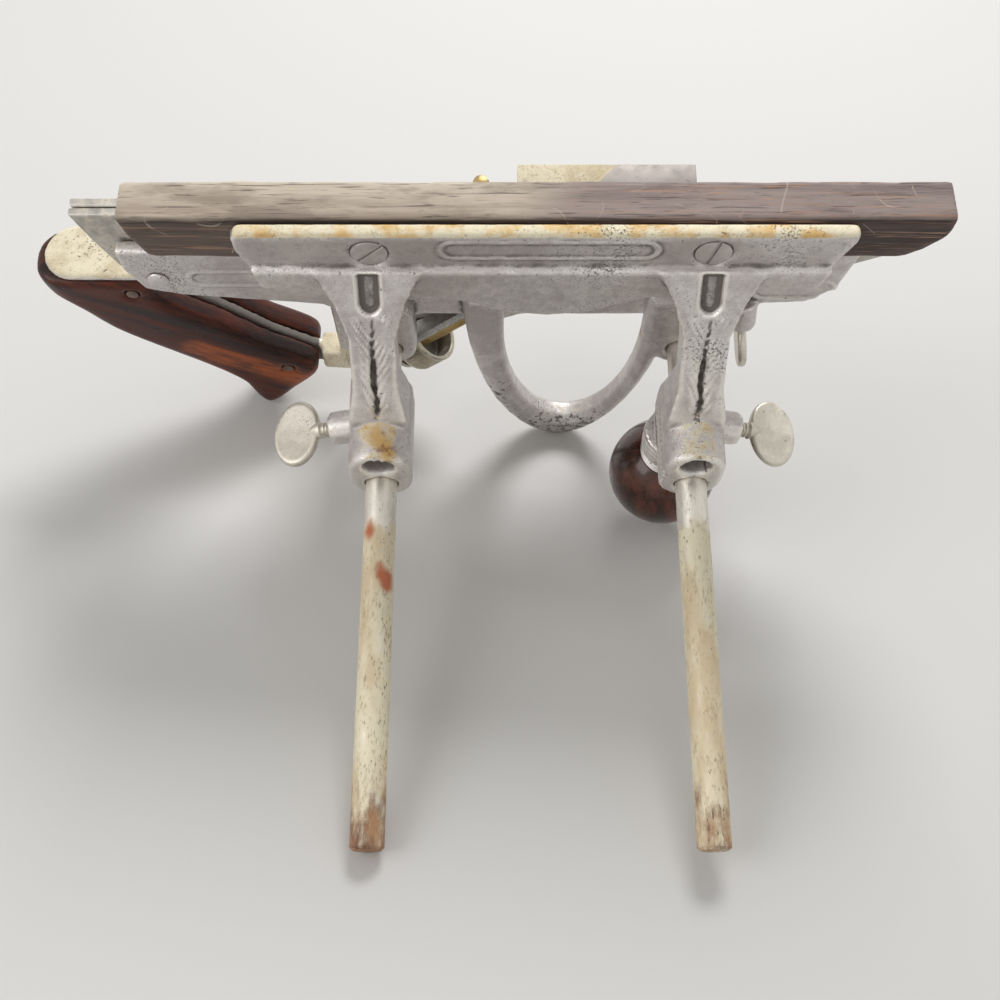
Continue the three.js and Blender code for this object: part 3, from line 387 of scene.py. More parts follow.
def recast(name, grain, rounds, relief=None, marks=None, soft=None, soft_rounds=0):
    """A closed mesh over a node's solid, smoothed, with how proud each point stands as wear:
    lighter edges with painted highlight, darker hollows with painted shade.
    """
    rough = bmesh.new()
    rough.from_mesh(frame["nodes"][name].data)
    bmesh.ops.remove_doubles(rough, verts=rough.verts, dist=0.001 * mm)
    mesh = bpy.data.meshes.new(name)
    rough.to_mesh(mesh)
    rough.free()
    blank = bpy.data.objects.new(name, mesh)
    scene.collection.objects.link(blank)
    skin = blank.modifiers.new("skin", "REMESH")
    skin.mode = "VOXEL"
    skin.voxel_size = grain * mm
    bpy.context.view_layer.update()
    skinned = blank.evaluated_get(bpy.context.evaluated_depsgraph_get())
    fine = bpy.data.meshes.new_from_object(skinned)
    bpy.data.objects.remove(blank)
    shape = bmesh.new()
    shape.from_mesh(fine)

    def relax(points, over):
        for _ in range(over):
            bmesh.ops.smooth_vert(shape, verts=points, factor=0.5, use_axis_x=True,
                                  use_axis_y=True, use_axis_z=True)

    relax(shape.verts, rounds)
    if soft:
        relax([point for point in shape.verts if soft(to_own @ point.co)], soft_rounds)
    shape.to_mesh(fine)
    shape.free()
    count = len(fine.vertices)
    spots = np.empty(count * 3)
    normals = np.empty(count * 3)
    pairs = np.empty(len(fine.edges) * 2, dtype=np.int32)
    fine.edges.foreach_get("vertices", pairs)
    pairs = pairs.reshape(-1, 2)
    ring = np.bincount(pairs.ravel(), minlength=count)[:, None]
    to_plane = np.array(to_own)

    def read():
        fine.vertices.foreach_get("co", spots)
        fine.vertices.foreach_get("normal", normals)
        own = spots.reshape(-1, 3) @ to_plane[:3, :3].T + to_plane[:3, 3]
        lean = normals.reshape(-1, 3) @ to_plane[:3, :3].T * mm
        return own, lean

    def around(values):
        total = np.zeros_like(values)
        np.add.at(total, pairs[:, 0], values[pairs[:, 1]])
        np.add.at(total, pairs[:, 1], values[pairs[:, 0]])
        return total / ring

    if relief:
        push = relief(*read())
        shifted = spots.reshape(-1, 3) + normals.reshape(-1, 3) * push[:, None] * mm
        fine.vertices.foreach_set("co", shifted.ravel())
        fine.update()
    own, lean = read()
    # Proud points are painted lighter and hollow ones darker: partly wear and grime, partly
    # painted highlight and shade.
    proud = ((own - around(own)) * lean).sum(axis=1, keepdims=True) / grain * wear_and_shade_gain
    for _ in range(2):
        proud = (proud + around(proud)) / 2
    painted = marks(own, lean) if marks else {}
    painted["wear"] = proud[:, 0] + painted.get("wear", 0)
    for mark, values in painted.items():
        layer = fine.attributes.new(mark, "FLOAT", "POINT")
        layer.data.foreach_set("value", values.astype(np.float32))
    return fine


def cast_piece(mesh, name, body, finish, node_name):
    mesh.name = name
    mesh.shade_smooth()
    mesh.materials.clear()
    mesh.materials.append(finish)
    piece = bpy.data.objects.new(name, mesh)
    scene.collection.objects.link(piece)
    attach(piece, body)
    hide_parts(node_name)
    return piece


def ramp(values, low, high):
    share = np.clip((values - low) / (high - low), 0, 1)
    return share * share * (3 - 2 * share)


def rim(x, z, half_length, half_height, width):
    """1 on the outline of a round-ended plaque, fading over width."""
    run = np.maximum(np.abs(x) - (half_length - half_height), 0)
    off = np.hypot(run, z) - half_height
    return np.exp(-(off / width) ** 2)


def patch(own, spots):
    """1 in the middle of each round spot (x, y, z, radius), fading out."""
    return sum(np.exp(-((own - spot[:3]) ** 2).sum(axis=1) / spot[3] ** 2)
               for spot in np.array(spots))


# Fence casting: the plate that holds the strip, on two leaf-shaped arms with long bosses. Its
# blank plaque, the leaves' veins and the screwdriver's notches are cast in.
casting_finish = plated("cast nickel", 0.2, Pits=0.5, Sand=1.0)
fence_finish = plated("fence nickel", 0.2, Pits=0.5, Sand=1.0, Yellowed=(0.78, 0.5, 0.16, 1))
fence_plate = {"face": 36, "top": 73}
fence_plaque = {"x": 2, "z": 66.8, "half_length": 29, "half_height": 3.6, "line": 0.75,
                "high": 0.5}
leaf = {"top": 49, "low": 20, "half_width": 6.4, "round": 2.6, "body": 0.25, "vein_step": 2.9,
        "vein_high": 0.75, "groove_deep": 1.2, "groove_half": 0.7}
notch = {"round": 51.5, "high": 59.2, "half_width": 2.9, "deep": 2.0}
boss_rib = {"step": 2.3, "high": 0.4, "back": 20}
belly_pits = ((12.7, 36, 49, 2.4), (18.6, 36, 51.5, 2.6), (22.7, 36, 52, 2.2), (19, 36, 46, 2),
              (8.2, 36, 44.8, 1.8), (5, 36, 47, 1.6), (-6.7, 36, 40, 2.6), (-1, 36, 42, 2),
              (-20, 36, 46, 1.8))
boss_stains = ((-48, 6, 17, 4.5), (-44, 1, 17, 4), (-45, -2, 14, 3))
plate_rust = ((-64, 36, 70, 5), (-74, 36, 67, 2), (-57, 36, 69, 3))


def fence_relief(own, lean):
    x, y, z = own.T
    near = ramp(-lean[:, 1], 0.3, 0.7)
    plaque = rim(x - fence_plaque["x"], z - fence_plaque["z"], fence_plaque["half_length"],
                 fence_plaque["half_height"], fence_plaque["line"])
    push = fence_plaque["high"] * plaque * near * (y < fence_plate["face"] + 1)
    for side in (-rod_x, rod_x):
        out = np.abs(x - side)
        length = ramp(z, leaf["low"], leaf["low"] + 3) * ramp(-z, -leaf["top"], 2 - leaf["top"])
        width = leaf["half_width"] * (1 - 0.35 * ramp(-z, -leaf["top"], -leaf["low"]))
        blade = length * ramp(width - out, 0, leaf["round"]) * near
        sway = 0.9 * np.sin(z / 4.1 + side) + 0.5 * np.sin(z / 1.7)
        vein = np.abs(((z - 1.7 * out + 0.8 * sway) / leaf["vein_step"]) % 1 - 0.5) * 2
        fading = 0.2 + 0.8 * ramp(np.sin(z / 2.3 + 3 * x / leaf["half_width"]), -0.8, 0.8)
        push += blade * (leaf["vein_high"] * fading * (1 - vein) + leaf["body"])
        groove = np.exp(-((x - side - 0.35 * sway) / leaf["groove_half"]) ** 2)
        groove *= 0.3 + 0.7 * ramp(-z, -46, -34)
        push -= leaf["groove_deep"] * length * near * groove
        below = np.maximum(notch["round"] - z, 0)
        inside = ramp(notch["half_width"] - np.hypot(out, below), -0.5, 0.7) * near
        push -= notch["deep"] * inside * ramp(-z, -notch["high"], 0.6 - notch["high"])
    boss_side = ramp(-lean[:, 0], 0.4, 0.8) * (x > 0) * (y < boss_rib["back"]) * (z < 9)
    push += boss_rib["high"] * boss_side * np.cos(z / boss_rib["step"] * math.tau)
    return push


def fence_marks(own, lean):
    x, y, z = own.T
    edge = fence_plate["top"] - 1
    top_edge = ramp(z, edge - 0.4, edge + 0.5) * ramp(lean[:, 2], 0.1, 0.5)
    boss_top = ramp(lean[:, 2], 0.6, 0.9) * ramp(-y, -24, -12) * (z > 10)
    low_arm = ramp(-z, -50, -30) * ramp(-lean[:, 1], 0.2, 0.6) * (y < 34)
    arm_groove = np.exp(-((np.abs(x) - rod_x) / 1.5) ** 2) * low_arm
    below = np.maximum(notch["round"] - z, 0)
    recess = ramp(notch["half_width"] - np.hypot(np.abs(x) - rod_x, below), -0.4, 0.6)
    recess *= (z < notch["high"]) * ramp(-lean[:, 1], 0.1, 0.5) * (y < fence_plate["face"] + 1)
    face = ramp(-lean[:, 1], 0.6, 0.9) * ramp(z, 60, 63) * (y > fence_plate["face"] - 1)
    upward = ramp(lean[:, 2], 0.3, 0.9)
    # The negative wear paints shade into the screwdriver's notches and along the arm grooves,
    # and darkens the plate's upper near face a little.
    return {"wear": 0.26 * low_arm - 0.2 * recess - 0.3 * arm_groove - 0.1 * face,
            "tarnish": 0.95 * top_edge + 0.42 * boss_top + 0.2 * low_arm + 0.12 * upward,
            "rust": 0.42 * patch(own, plate_rust),
            "stain": 0.75 * patch(own, boss_stains),
            "etched": patch(own, belly_pits) + 0.8 * arm_groove}


def boss_only(spot):
    return spot.y < 6 and spot.z > 5


cast_piece(recast("fence_casting", 0.6, 5, fence_relief, fence_marks, boss_only, 6),
           "fence_body", "fence", fence_finish, "fence_casting")

# Sliding section: the two castings joined by the arch, one blank plaque behind and one at the
# toe. The arch is round in section and smooth from handling, with deep pits along its foot.
slider_plaques = ((-81, 33, 22, 3.6), (77, 27, 12.5, 4.6))
slider_face = {"y": 47, "z": 18}
arch = {"x": 10.2, "half_width": 36, "top": 16}
arch_stain = ((33.8, 49, 1.9, 3.2),)


def slider_relief(own, lean):
    x, y, z = own.T
    near = ramp(-lean[:, 1], 0.5, 0.8) * (y > slider_face["y"]) * (z > slider_face["z"])
    return sum(0.5 * rim(x - at, z - up, half_length, half_height, 0.8) * near
               for at, up, half_length, half_height in slider_plaques)


def arch_only(spot):
    return abs(spot.x - arch["x"]) < arch["half_width"] and spot.z < arch["top"] - 4


def slider_marks(own, lean):
    x, _, z = own.T
    on_arch = (np.abs(x - arch["x"]) < arch["half_width"]) * ramp(-z, -arch["top"], 0)
    bottom = ramp(-z, 36, 54) + ramp(-x, 4, 12) * ramp(-z, 18, 30)
    upward = ramp(lean[:, 2], 0.3, 0.8)
    return {"tarnish": 0.1 * upward + 0.24 * on_arch * upward,
            "etched": 0.75 * on_arch * np.minimum(bottom, 1) * ramp(-lean[:, 1], 0.1, 0.5),
            "stain": 0.7 * patch(own, arch_stain)}


cast_piece(recast("sliding_section", 0.6, 4, slider_relief, slider_marks, arch_only, 10),
           "sliding_body", "slider", casting_finish, "sliding_section")

# Main stock: the thick casting behind, with the rods' sockets, the handle's frame and its
# foot, which is polished by hands and has gone cream.
foot_front = -105
link = {"rear": -74, "front": -57, "top": -25}
foot_nicks = ((-140, 66, 22.6, 3.5), (-133, 61, 22.6, 3), (-146, 70, 22.6, 3))


def stock_marks(own, lean):
    x, _, z = own.T
    foot = ramp(lean[:, 2], 0.3, 0.7) * ramp(-x, foot_front, foot_front + 0.5) * ramp(z, 17, 19)
    on_link = ramp(x, link["rear"] - 0.5, link["rear"]) * ramp(-z, -link["top"], 5 - link["top"])
    on_link *= ramp(-x, -link["front"], 3 - link["front"])
    in_handle = ramp(-x, -link["rear"], 1 - link["rear"]) * ramp(-z, -14, -12)
    # The negative wear paints shade on the frame where it runs inside the handle.
    return {"wear": -0.75 * in_handle,
            "tarnish": 0.8 * foot + 0.75 * on_link + 0.1 * ramp(lean[:, 2], 0.3, 0.9),
            "etched": 0.4 * patch(own, foot_nicks) * foot}


cast_piece(recast("main_stock", 0.72, 3, None, stock_marks), "stock_body", "main",
           casting_finish, "main_stock")

# Fence strip: a bar of rosewood left bare, weathered to grey-brown towards the heel and dark
# at the toe, rubbed along its edges and chipped at its front lower corner.
wood, wood_in, wood_out = group(
    "rosewood grain",
    [("Vector", VECTOR, None), ("Wear", FLOAT, 0.0), ("Dark", COLOUR, (0.04, 0.015, 0.01, 1)),
     ("Brown", COLOUR, (0.17, 0.055, 0.03, 1)), ("Rubbed", COLOUR, (0.42, 0.2, 0.1, 1)),
     ("Streaks", FLOAT, 60.0)],
    [("Color", COLOUR), ("Roughness", FLOAT), ("Height", FLOAT)])
given = wood_in.outputs
wide_streaks = cloud(given["Vector"], given["Streaks"], 6.0, 0.62, 0.6)
fine_streaks = cloud(given["Vector"], times(given["Streaks"], 7.0), 4.0, 0.65)
open_pores = band(cloud(given["Vector"], times(given["Streaks"], 22.0), 2.0, 0.6), 0.6, 0.7)
figure = plus(times(wide_streaks, 0.65), times(fine_streaks, 0.35))
board = mix(band(figure, 0.4, 0.6), given["Dark"], given["Brown"])
# Where the wear mark is high the wood takes the rubbed colour: partly worn wood, partly painted
# highlight.
handled_and_highlit = times(band(given["Wear"], 0.1, 0.6), band(fine_streaks, 0.3, 0.6))
board = mix(handled_and_highlit, board, given["Rubbed"])
board = mix(times(open_pores, 0.7), board, (0.03, 0.012, 0.008, 1))
feed(wood_out, {
    "Color": board,
    "Roughness": band(fine_streaks, 0.35, 0.65, 0.34, 0.5),
    "Height": less(times(fine_streaks, 0.5), times(open_pores, 0.6)),
})


def grained(tree, vector, wear_base, **values):
    values["Wear"] = plus(marked(tree, "wear"), wear_base)
    return node(tree, "ShaderNodeGroup", {"Vector": vector, **values}, node_tree=wood).outputs


def curved_lines(vector, scale, thick, kept):
    """A few thin curved scratches: the level lines of a smooth cloud, most of them hidden."""
    level = reckon("ABSOLUTE", less(cloud(vector, scale, 0.5), 0.5))
    return times(band(level, 0.0, thick, 1.0, 0.0),
                 band(cloud(vector, scale * 1.7, 2), kept, kept + 0.05))


strip_finish, tree, shader = new_material("weathered strip")
strip_place = along(tree, stretch=20)
drift_place = along(tree, stretch=3)
hair_place = along(tree, math.radians(1.5), 45)
cross_place = along(tree, math.radians(60), 3)
shaded_side_wood = grained(tree, strip_place, 0.0, Dark=(0.035, 0.02, 0.017, 1),
                   Brown=(0.1, 0.06, 0.05, 1), Rubbed=(0.3, 0.2, 0.16, 1), Streaks=110.0)
top_wood = grained(tree, strip_place, 0.0, Dark=(0.17, 0.125, 0.115, 1),
                   Brown=(0.34, 0.265, 0.24, 1), Rubbed=(0.4, 0.3, 0.26, 1), Streaks=110.0)
heel_wood = grained(tree, strip_place, 0.0, Dark=(0.4, 0.32, 0.25, 1),
                    Brown=(0.62, 0.53, 0.42, 1), Rubbed=(0.7, 0.62, 0.52, 1), Streaks=80.0)
bleach = marked(tree, "bleach")
drift = times(less(cloud(drift_place, 60, 4), 0.5), 0.8)
heelward = band(plus(bleach, times(bleach, drift)), 0.0, 0.8)
# The top takes a lighter weathered wood and the sides a dark one: partly the wood's own tone,
# partly painted shade on the sides.
surface = mix(band(marked(tree, "top"), 0.3, 0.7), shaded_side_wood["Color"], top_wood["Color"])
surface = mix(heelward, surface, heel_wood["Color"])
grubby = band(cloud(drift_place, 95, 5, 0.65), 0.5, 0.66, 0.0, 0.42)
surface = mix(grubby, surface, (0.13, 0.09, 0.075, 1))
dark_hairs = band(cloud(hair_place, 700, 2, 0.7), 0.6, 0.68, 0.0, 0.75)
surface = mix(dark_hairs, surface, (0.075, 0.05, 0.04, 1))
red_hairs = times(band(cloud(hair_place, 1100, 3, 0.7), 0.55, 0.66),
                  band(heelward, 0.0, 0.4, 0.8, 0.0))
surface = mix(red_hairs, surface, (0.42, 0.24, 0.16, 1))
scratches = most(curved_lines(along(tree), 40, 0.006, 0.54),
                 curved_lines(cross_place, 90, 0.008, 0.55))
surface = mix(times(scratches, 0.6), surface, (0.55, 0.46, 0.38, 1))
nicked = times(marked(tree, "arris"), band(cloud(strip_place, 260, 4, 0.7), 0.38, 0.52))
surface = mix(nicked, surface, (0.03, 0.02, 0.018, 1))
feed(shader, {"Base Color": surface,
              "Roughness": band(shaded_side_wood["Roughness"], 0.3, 0.5, 0.5, 0.75)})
bumped(shader, shaded_side_wood["Height"], 0.12, 0.7)

chip = {"place": (107, 41, 57), "reach": 4.5, "deep": 1.3}
strip_arris = {"y": 40.8, "z": 72.4}
strip_undersize = 0.12


def strip_relief(own, lean):
    x, _, z = own.T
    near_chip = np.exp(-((own - chip["place"]) ** 2).sum(axis=1) / chip["reach"] ** 2)
    sway = 0.12 * np.sin(x / 17 + 0.6) * np.sin(x / 7.3) + 0.05 * np.sin(x / 2.9 + z)
    return sway - strip_undersize - chip["deep"] * near_chip


def strip_marks(own, lean):
    x, y, z = own.T
    on_top = ramp(lean[:, 2], 0.3, 0.8)
    on_face = ramp(-lean[:, 1], 0.5, 0.9)
    off = np.hypot(z - strip_arris["z"], y - strip_arris["y"])
    return {"bleach": on_top * (1 - ramp(x, -30, 25)) + 0.2 * on_face * (1 - ramp(x, -60, 20)),
            "top": on_top, "arris": np.exp(-off ** 4)}


cast_piece(recast("fence_strip", 0.7, 6, strip_relief, strip_marks), "fence_wood_strip", "fence",
           strip_finish, "fence_strip")


# Cut steel and small plated parts: skates, screws, pins and blades keep the shape of their
# nodes, with every hard edge eased as a file and long use would leave it.
def eased(name, edge, body, finish, middle=None, turn=0):
    """A node's solid with its hard edges rounded, turned about an axis along y if asked."""
    shape = bmesh.new()
    shape.from_mesh(frame["nodes"][name].data)
    if middle:
        bmesh.ops.rotate(shape, cent=lie @ Vector(middle), verts=shape.verts,
                         matrix=Matrix.Rotation(math.radians(turn), 3, to_main))
    bmesh.ops.remove_doubles(shape, verts=shape.verts, dist=0.001 * mm)
    bmesh.ops.dissolve_limit(shape, angle_limit=math.radians(1), verts=shape.verts,
                             edges=shape.edges)
    hard = [side for side in shape.edges
            if len(side.link_faces) == 2 and side.calc_face_angle() > math.radians(25)]
    bmesh.ops.bevel(shape, geom=hard, offset=edge * mm, segments=2, affect="EDGES", profile=0.5,
                    material=-1, clamp_overlap=True)
    return settle(shape, f"{name}_eased", body, finish, [name], None, 30)


skate_finish = plated("skate nickel", 0.04, Pits=0.5, Sand=0.3, Tarnish=0.34, Rust=0.04,
                      Bright=(0.66, 0.63, 0.57, 1), Dull=(0.4, 0.38, 0.34, 1))
steel_finish = plated("bare steel", 0.03, Pits=0.6, Sand=0.3, Rust=0.12,
                      Bright=(0.5, 0.49, 0.47, 1), Dull=(0.28, 0.27, 0.25, 1))
screw_finish = plated("screw nickel", 0.04, Pits=0.45, Sand=0.5, Tarnish=0.14)
pin_finish = plated("dark pins", 0.02, Bright=(0.24, 0.17, 0.13, 1), Dull=(0.12, 0.08, 0.06, 1))
for end in ("rear", "front"):
    eased(f"sliding_skate_{end}", 0.25, "slider", skate_finish)
    eased(f"main_skate_{end}", 0.25, "main", skate_finish)
strip_screw = {"x": 46, "z": 65}
for end, side, slot_turn in (("rear", -1, -90), ("front", 1, -122)):
    head = (side * strip_screw["x"], fence_plate["face"], strip_screw["z"])
    eased(f"strip_screw_{end}", 0.15, "fence", screw_finish, head, slot_turn)
    eased(f"rod_set_screw_{end}", 0.15, "main", steel_finish)
for name, body in (("cutter", "blade"), ("feed_yoke", "blade"), ("clamp_bolt", "main"),
                   ("spur", "spur"), ("spur_screw", "main"), ("knob_stud", "fence")):
    eased(name, 0.12, body, steel_finish)
for end in ("upper", "lower"):
    eased(f"tote_pin_{end}", 0.12, "main", pin_finish)

# Depth gauge and wing nut: plated, with softer edges than the steel. The gauge's nickel has
# gone dull, and cream on the heel's side of a slanting line.
gauge_cream = {"edge": -0.036, "fade": 0.0006, "share": 0.7, "slant": 0.9}
gauge_matt = 0.22
gauge_finish = plated("gauge nickel", 0.04, Pits=0.45, Sand=0.3, Bright=(0.4, 0.365, 0.35, 1),
                      Dull=(0.3, 0.27, 0.25, 1))
tree = gauge_finish.node_tree
gauge_look = tree.nodes["Group"]
gauge_place = node(tree, "ShaderNodeSeparateXYZ", {"Vector": along(tree)}).outputs
worn_to = less(gauge_place["X"], times(gauge_place["Y"], gauge_cream["slant"]))
feed(gauge_look, {"Tarnish": band(worn_to, gauge_cream["edge"] - gauge_cream["fade"],
                                  gauge_cream["edge"], gauge_cream["share"], 0.0)})
feed(tree.nodes["Principled BSDF"],
     {"Roughness": plus(gauge_look.outputs["Roughness"], gauge_matt)})
eased("depth_gauge", 0.4, "depth_gauge", gauge_finish)
eased("wing_nut", 0.5, "wing_nut", screw_finish)

# Rivets: soft steel pegs through skate and casting, headed over into low domes. Each starts
# at its section's inner face and ends with its dome on the outer one.
rivet = {"radius": 1.6, "head": 3.2, "high": 1.3, "proud": 0.3, "z": 32.5}
rivet_x = {"rear": -112, "middle": -30, "front": 54}
riveted = {"sliding": {"body": "slider", "face": 56.9, "way": -1, "grip": 7.7},
           "main": {"body": "main", "face": 57.3, "way": 1, "grip": 9.1}}
for end, x in rivet_x.items():
    for owner, section in riveted.items():
        neck = section["grip"] + rivet["proud"]
        dome = [(rivet["head"] * math.cos(angle), neck + rivet["high"] * math.sin(angle))
                for angle in (math.radians(10 * step) for step in range(9))]
        peg = spun([(0, 0), (rivet["radius"], 0), (rivet["radius"], neck), *dome,
                    (0, neck + rivet["high"])], 32)
        aimed(peg, (x, section["face"], rivet["z"]), (0, section["way"], 0))
        settle(peg, f"{owner}_rivet_head_{end}", section["body"], screw_finish,
               [f"{owner}_rivet_{end}"])

# Thumb screws: a coin-shaped head pressed on edge into the end of a threaded shank. The
# fence's heads are oval, longer across than along the screw, and the others are round.
coin_thick = 2.8
coin_dish = 0.25
shank = {"radius": 2.4, "pitch": 1.1, "deep": 0.35}
coin_finish = plated("coin nickel", 0.05, Pits=0.5, Sand=0.6, Tarnish=0.24, Rust=0.03,
                     Bright=(0.82, 0.77, 0.68, 1), Dull=(0.6, 0.56, 0.48, 1))


def thumb_screw(name, root, way, face, tip, centre, radius, half_length):
    """A screw from root along way, its coin's flat side facing face."""
    way = Vector(way).normalized()
    half = coin_thick / 2
    dish = half - coin_dish
    edge = [(radius - half * 0.7 + half * 0.7 * math.sin(angle), -half * math.cos(angle))
            for angle in (math.radians(30 * step) for step in range(7))]
    coin = spun([(0, -dish), (radius * 0.6, -dish), (radius * 0.82, 0.05 - half), *edge,
                 (radius * 0.82, half - 0.05), (radius * 0.6, dish), (0, dish)], 64)
    middle = Matrix.Translation(Vector(root) + way * centre)
    oval = middle @ Matrix.Scale(half_length / radius, 4, way)
    bmesh.ops.transform(aimed(coin, (0, 0, 0), face), matrix=oval, verts=coin.verts)
    neck = centre - half_length
    crest, valley, pitch = shank["radius"], shank["radius"] - shank["deep"], shank["pitch"]
    threads = [point for turn in range(int((neck - 1.5 - tip) / pitch)) for point in
               ((valley, tip + turn * pitch + 0.15 * pitch), (crest, tip + (turn + 0.5) * pitch),
                (crest, tip + (turn + 0.65) * pitch))]
    stem = spun([(0, tip), *threads, (valley, neck - 1.2), (crest + 0.3, neck - 0.6),
                 (crest + 0.2, neck + 0.8), (half * 0.8, neck + 3.5), (0, neck + 3.6)], 32)
    aimed(stem, root, way)
    joined = bpy.data.meshes.new("shank")
    stem.to_mesh(joined)
    coin.from_mesh(joined)
    stem.free()
    return settle(coin, f"{name}_coin", name, coin_finish, [name])


fence_screw_y = 18.5
fence_screw_angle = math.radians(18)
cos, sin = math.cos(fence_screw_angle), math.sin(fence_screw_angle)
for end, side in (("rear", -1), ("front", 1)):
    thumb_screw(f"fence_thumb_{end}", (side * rod_x, fence_screw_y, 0), (side * cos, 0, -sin),
                (side * sin, 0, cos), tip=5.05, centre=29.8, radius=11.3, half_length=7.8)
thumb_screw("slider_thumb_rear", (-rod_x, slider_screw_y, 0), (0, 0, -1), (1, 0, 0),
            tip=5.05, centre=29, radius=8, half_length=8)
lug_tilt = math.radians(8)
cos, sin = math.cos(lug_tilt), math.sin(lug_tilt)
thumb_screw("slider_thumb_front", (64, 50, 16), (sin, 0, -cos), (cos, 0, sin),
            tip=0, centre=20, radius=9, half_length=9)
thumb_screw("gauge_thumb", (30, 72.6, 19), (0, 1, 0), (1, 0, 0),
            tip=3.5, centre=20, radius=7, half_length=7)

# Adjusting nut: a cup turned from brass and plated, its rim knurled for the fingers, with a
# groove behind that carries the yoke, on the brass feed screw.
nut_mouth = (-33.8, 65.5, -26)
feed_way = Vector((-math.sqrt(0.5), 0, -math.sqrt(0.5)))
nut = {"bore": 2.9, "inner": 8.4, "outer": 10, "edge": 0.4, "deep": 8, "corner": 0.8,
       "floor": 10.4, "hub": 4.6, "hub_end": 14.4, "flange": 7, "end": 16}
knurl = {"count": 66, "deep": 0.45, "low": 1.6, "high": 9.3}
outer, edge = nut["outer"], nut["edge"]
wall = [(outer - edge, 0), (outer, edge), (outer, 1.4), (outer, 1.7), (outer, 9.2), (outer, 9.5),
        (outer - 0.3, nut["floor"])]
nut_body = spun([(nut["bore"], nut["deep"]), (nut["inner"] - nut["corner"], nut["deep"]),
                 (nut["inner"], nut["deep"] - nut["corner"]), (nut["inner"], edge),
                 (nut["inner"] + 0.3, 0), *wall, (nut["hub"], nut["floor"]),
                 (nut["hub"], nut["hub_end"]), (nut["flange"], nut["hub_end"]),
                 (nut["flange"], nut["end"]), (nut["bore"], nut["end"]),
                 (nut["bore"], nut["deep"])], knurl["count"] * 2)
for point in nut_body.verts:
    reach = math.hypot(point.co.x, point.co.y)
    column = round(math.atan2(point.co.y, point.co.x) / math.tau * knurl["count"] * 2)
    if reach > outer - 0.01 and knurl["low"] < point.co.z < knurl["high"] and column % 2:
        point.co.xy *= (outer - knurl["deep"]) / reach
nut_finish = plated("nut nickel", 0.04, Pits=0.4, Sand=0.4, Tarnish=0.3,
                    Bright=(0.66, 0.61, 0.5, 1), Dull=(0.4, 0.37, 0.3, 1))
cup = settle(aimed(nut_body, nut_mouth, feed_way), "adjusting_cup", "adjusting_nut", nut_finish,
             ["adjusting_nut"], crease=25)
turn_back = Vector((0, 0, 1)).rotation_difference(feed_way).to_matrix().inverted()
# Painted shade darkens the inside of the cup, and the rest of it is a little rubbed.
cup_inside_shade = -0.45
cup_wear = 0.15


def cup_marks(own):
    spot = turn_back @ (own - Vector(nut_mouth))
    inside = spot.xy.length < nut["inner"] + 0.1 and 0.5 < spot.z < nut["deep"] + 0.1
    return {"wear": cup_inside_shade if inside else cup_wear}


paint(cup, cup_marks)

# Feed screw and stop screw: both of brass that has browned. The first is threaded all the way
# for the nut, and the second is a plain peg with a rounded top.
brass_finish = plated("old brass", 0.03, Pits=0.4, Sand=0.4, Tarnish=0.22,
                      Yellowed=(0.5, 0.34, 0.12, 1), Bright=(0.56, 0.42, 0.18, 1),
                      Dull=(0.3, 0.21, 0.09, 1))
feed_screw = {"radius": 2.6, "root_x": -15, "back": 6, "length": 44.6, "pitch": 0.9,
              "deep": 0.25}


def threaded(radius, start, length, pitch, deep):
    valley, end = radius - deep, start + length
    threads = [point for turn in range(int(length / pitch)) for point in
               ((valley, start + (turn + 0.1) * pitch), (radius, start + (turn + 0.55) * pitch))]
    return spun([(0, start), (valley, start), *threads, (valley, end), (0, end)], 28)


root_drop = feed_screw["root_x"] - nut_mouth[0]
screw_shape = threaded(feed_screw["radius"], -feed_screw["back"],
                       feed_screw["length"] + feed_screw["back"], feed_screw["pitch"],
                       feed_screw["deep"])
aimed(screw_shape, (feed_screw["root_x"], nut_mouth[1], nut_mouth[2] + root_drop), feed_way)
settle(screw_shape, "brass_feed_screw", "main", brass_finish, ["feed_screw"], crease=25)
stop = {"x": -16.5, "y": 70.4, "low": 36, "top": 51.4, "radius": 2.4}
stop_peg = spun([(0, stop["low"]), (stop["radius"], stop["low"]),
                 (stop["radius"], stop["top"] - 1.2), (stop["radius"] - 0.3, stop["top"] - 0.4),
                 (stop["radius"] - 1.1, stop["top"]), (0, stop["top"])], 32)
settle(aimed(stop_peg, (stop["x"], stop["y"], 0), (0, 0, 1)), "brass_stop_screw", "main",
       brass_finish, ["stop_screw"])


# Handle: one piece of rosewood, sawn to its outline and rounded over by rasp and hand, slotted
# for the metal frame and pinned through it. The varnish has gone from the heel and the grip.
def varnished(shader, look, roughness, sheen, coat, coat_roughness):
    feed(shader, {"Base Color": look["Color"], "Roughness": roughness,
                  "Specular IOR Level": sheen, "Coat Weight": coat,
                  "Coat Roughness": coat_roughness})


tote_finish, tree, shader = new_material("handle rosewood")
tote_look = grained(tree, along(tree, math.radians(33), 9), marked(tree, "grip_wear_and_highlight"),
                    Dark=(0.014, 0.004, 0.003, 1), Brown=(0.1, 0.018, 0.007, 1),
                    Rubbed=(0.38, 0.09, 0.022, 1), Streaks=75.0)
varnished(shader, tote_look, tote_look["Roughness"], sheen=0.25, coat=0.15, coat_roughness=0.2)
bumped(shader, tote_look["Height"], 0.15, 0.7)
# Along the grip a lighter orange band is painted: partly bare wood where the varnish has worn,
# partly painted highlight along the rounded edge.
grip = {"from": (-113, -20), "to": (-78, -44), "wide": 6, "share": 0.75}


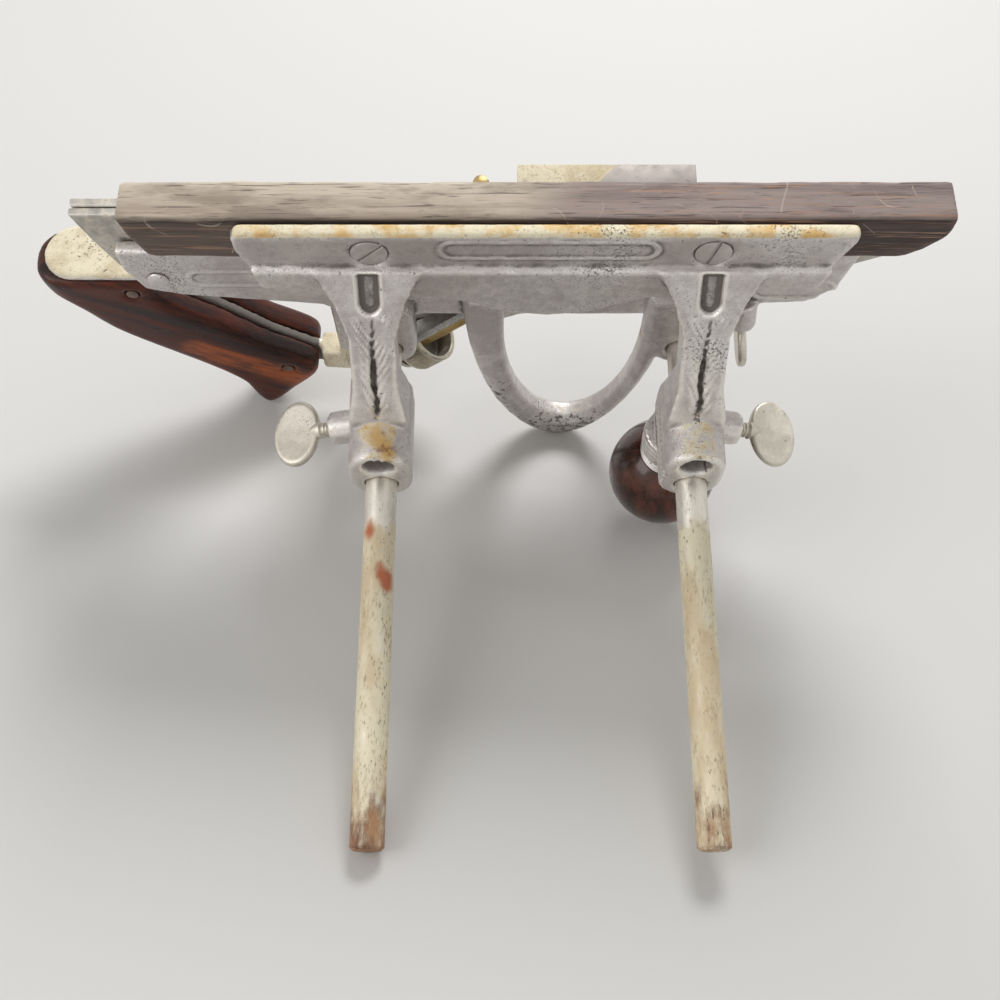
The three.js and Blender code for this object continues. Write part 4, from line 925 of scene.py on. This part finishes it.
def tote_marks(own, lean):
    start, run = np.array(grip["from"]), np.array(grip["to"]) - grip["from"]
    spot = own[:, [0, 2]]
    way = np.clip(((spot - start) @ run) / (run @ run), 0, 1)
    off = np.hypot(*(spot - start - way[:, None] * run).T)
    return {"grip_wear_and_highlight": grip["share"] * np.exp(-(off / grip["wide"]) ** 2)}


cast_piece(recast("tote", 0.7, 16, None, tote_marks), "handle_wood", "main", tote_finish,
           "tote")

# Knob: a ball of rosewood turned with a flat at its neck, polished dark, screwed down through
# a ribbed collar on to the fence casting.
knob = {"x": 43, "y": 15, "radius": 17.6, "top": 14.5, "centre": 30.1, "bore": 3.3, "steps": 24}
knob_start = math.acos((knob["centre"] - knob["top"]) / knob["radius"])
knob_sweep = math.pi - knob_start
ball = [(knob["radius"] * math.sin(angle), knob["centre"] - knob["radius"] * math.cos(angle))
        for angle in (knob_start + knob_sweep * step / knob["steps"]
                      for step in range(knob["steps"]))]
neck_radius = ball[0][0]
knob_shape = spun([(knob["bore"], knob["top"] + 12), (knob["bore"], knob["top"] + 0.3),
                   (neck_radius - 0.6, knob["top"]), *ball,
                   (0, knob["centre"] + knob["radius"])], 64)
knob_finish, tree, shader = new_material("knob rosewood")
knob_look = grained(tree, along(tree, math.radians(80), 6), 0.0, Dark=(0.022, 0.006, 0.003, 1),
                    Brown=(0.12, 0.026, 0.01, 1), Streaks=40.0)
varnished(shader, knob_look, band(knob_look["Roughness"], 0.3, 0.5, 0.2, 0.34), sheen=0.3,
          coat=0.5, coat_roughness=0.12)
settle(aimed(knob_shape, (knob["x"], knob["y"], 0), (0, 0, -1)), "ball_knob", "fence",
       knob_finish, ["knob"])
collar = {"radius": 9, "bore": 3.25, "top": 10, "foot": 14.2, "ribs": 3, "deep": 0.9}
rib_high = (collar["foot"] - collar["top"]) / collar["ribs"]
ribs = [(collar["radius"] - deep, collar["top"] + (rib + share) * rib_high)
        for rib in range(collar["ribs"])
        for deep, share in ((collar["deep"], 0), (0, 0.35), (0, 0.65), (collar["deep"], 1))]
collar_shape = spun([(collar["bore"], collar["top"]), *ribs, (collar["bore"], collar["foot"]),
                     (collar["bore"], collar["top"])])
settle(aimed(collar_shape, (knob["x"], knob["y"], 0), (0, 0, -1)), "ribbed_collar", "fence",
       screw_finish, ["knob_collar"])
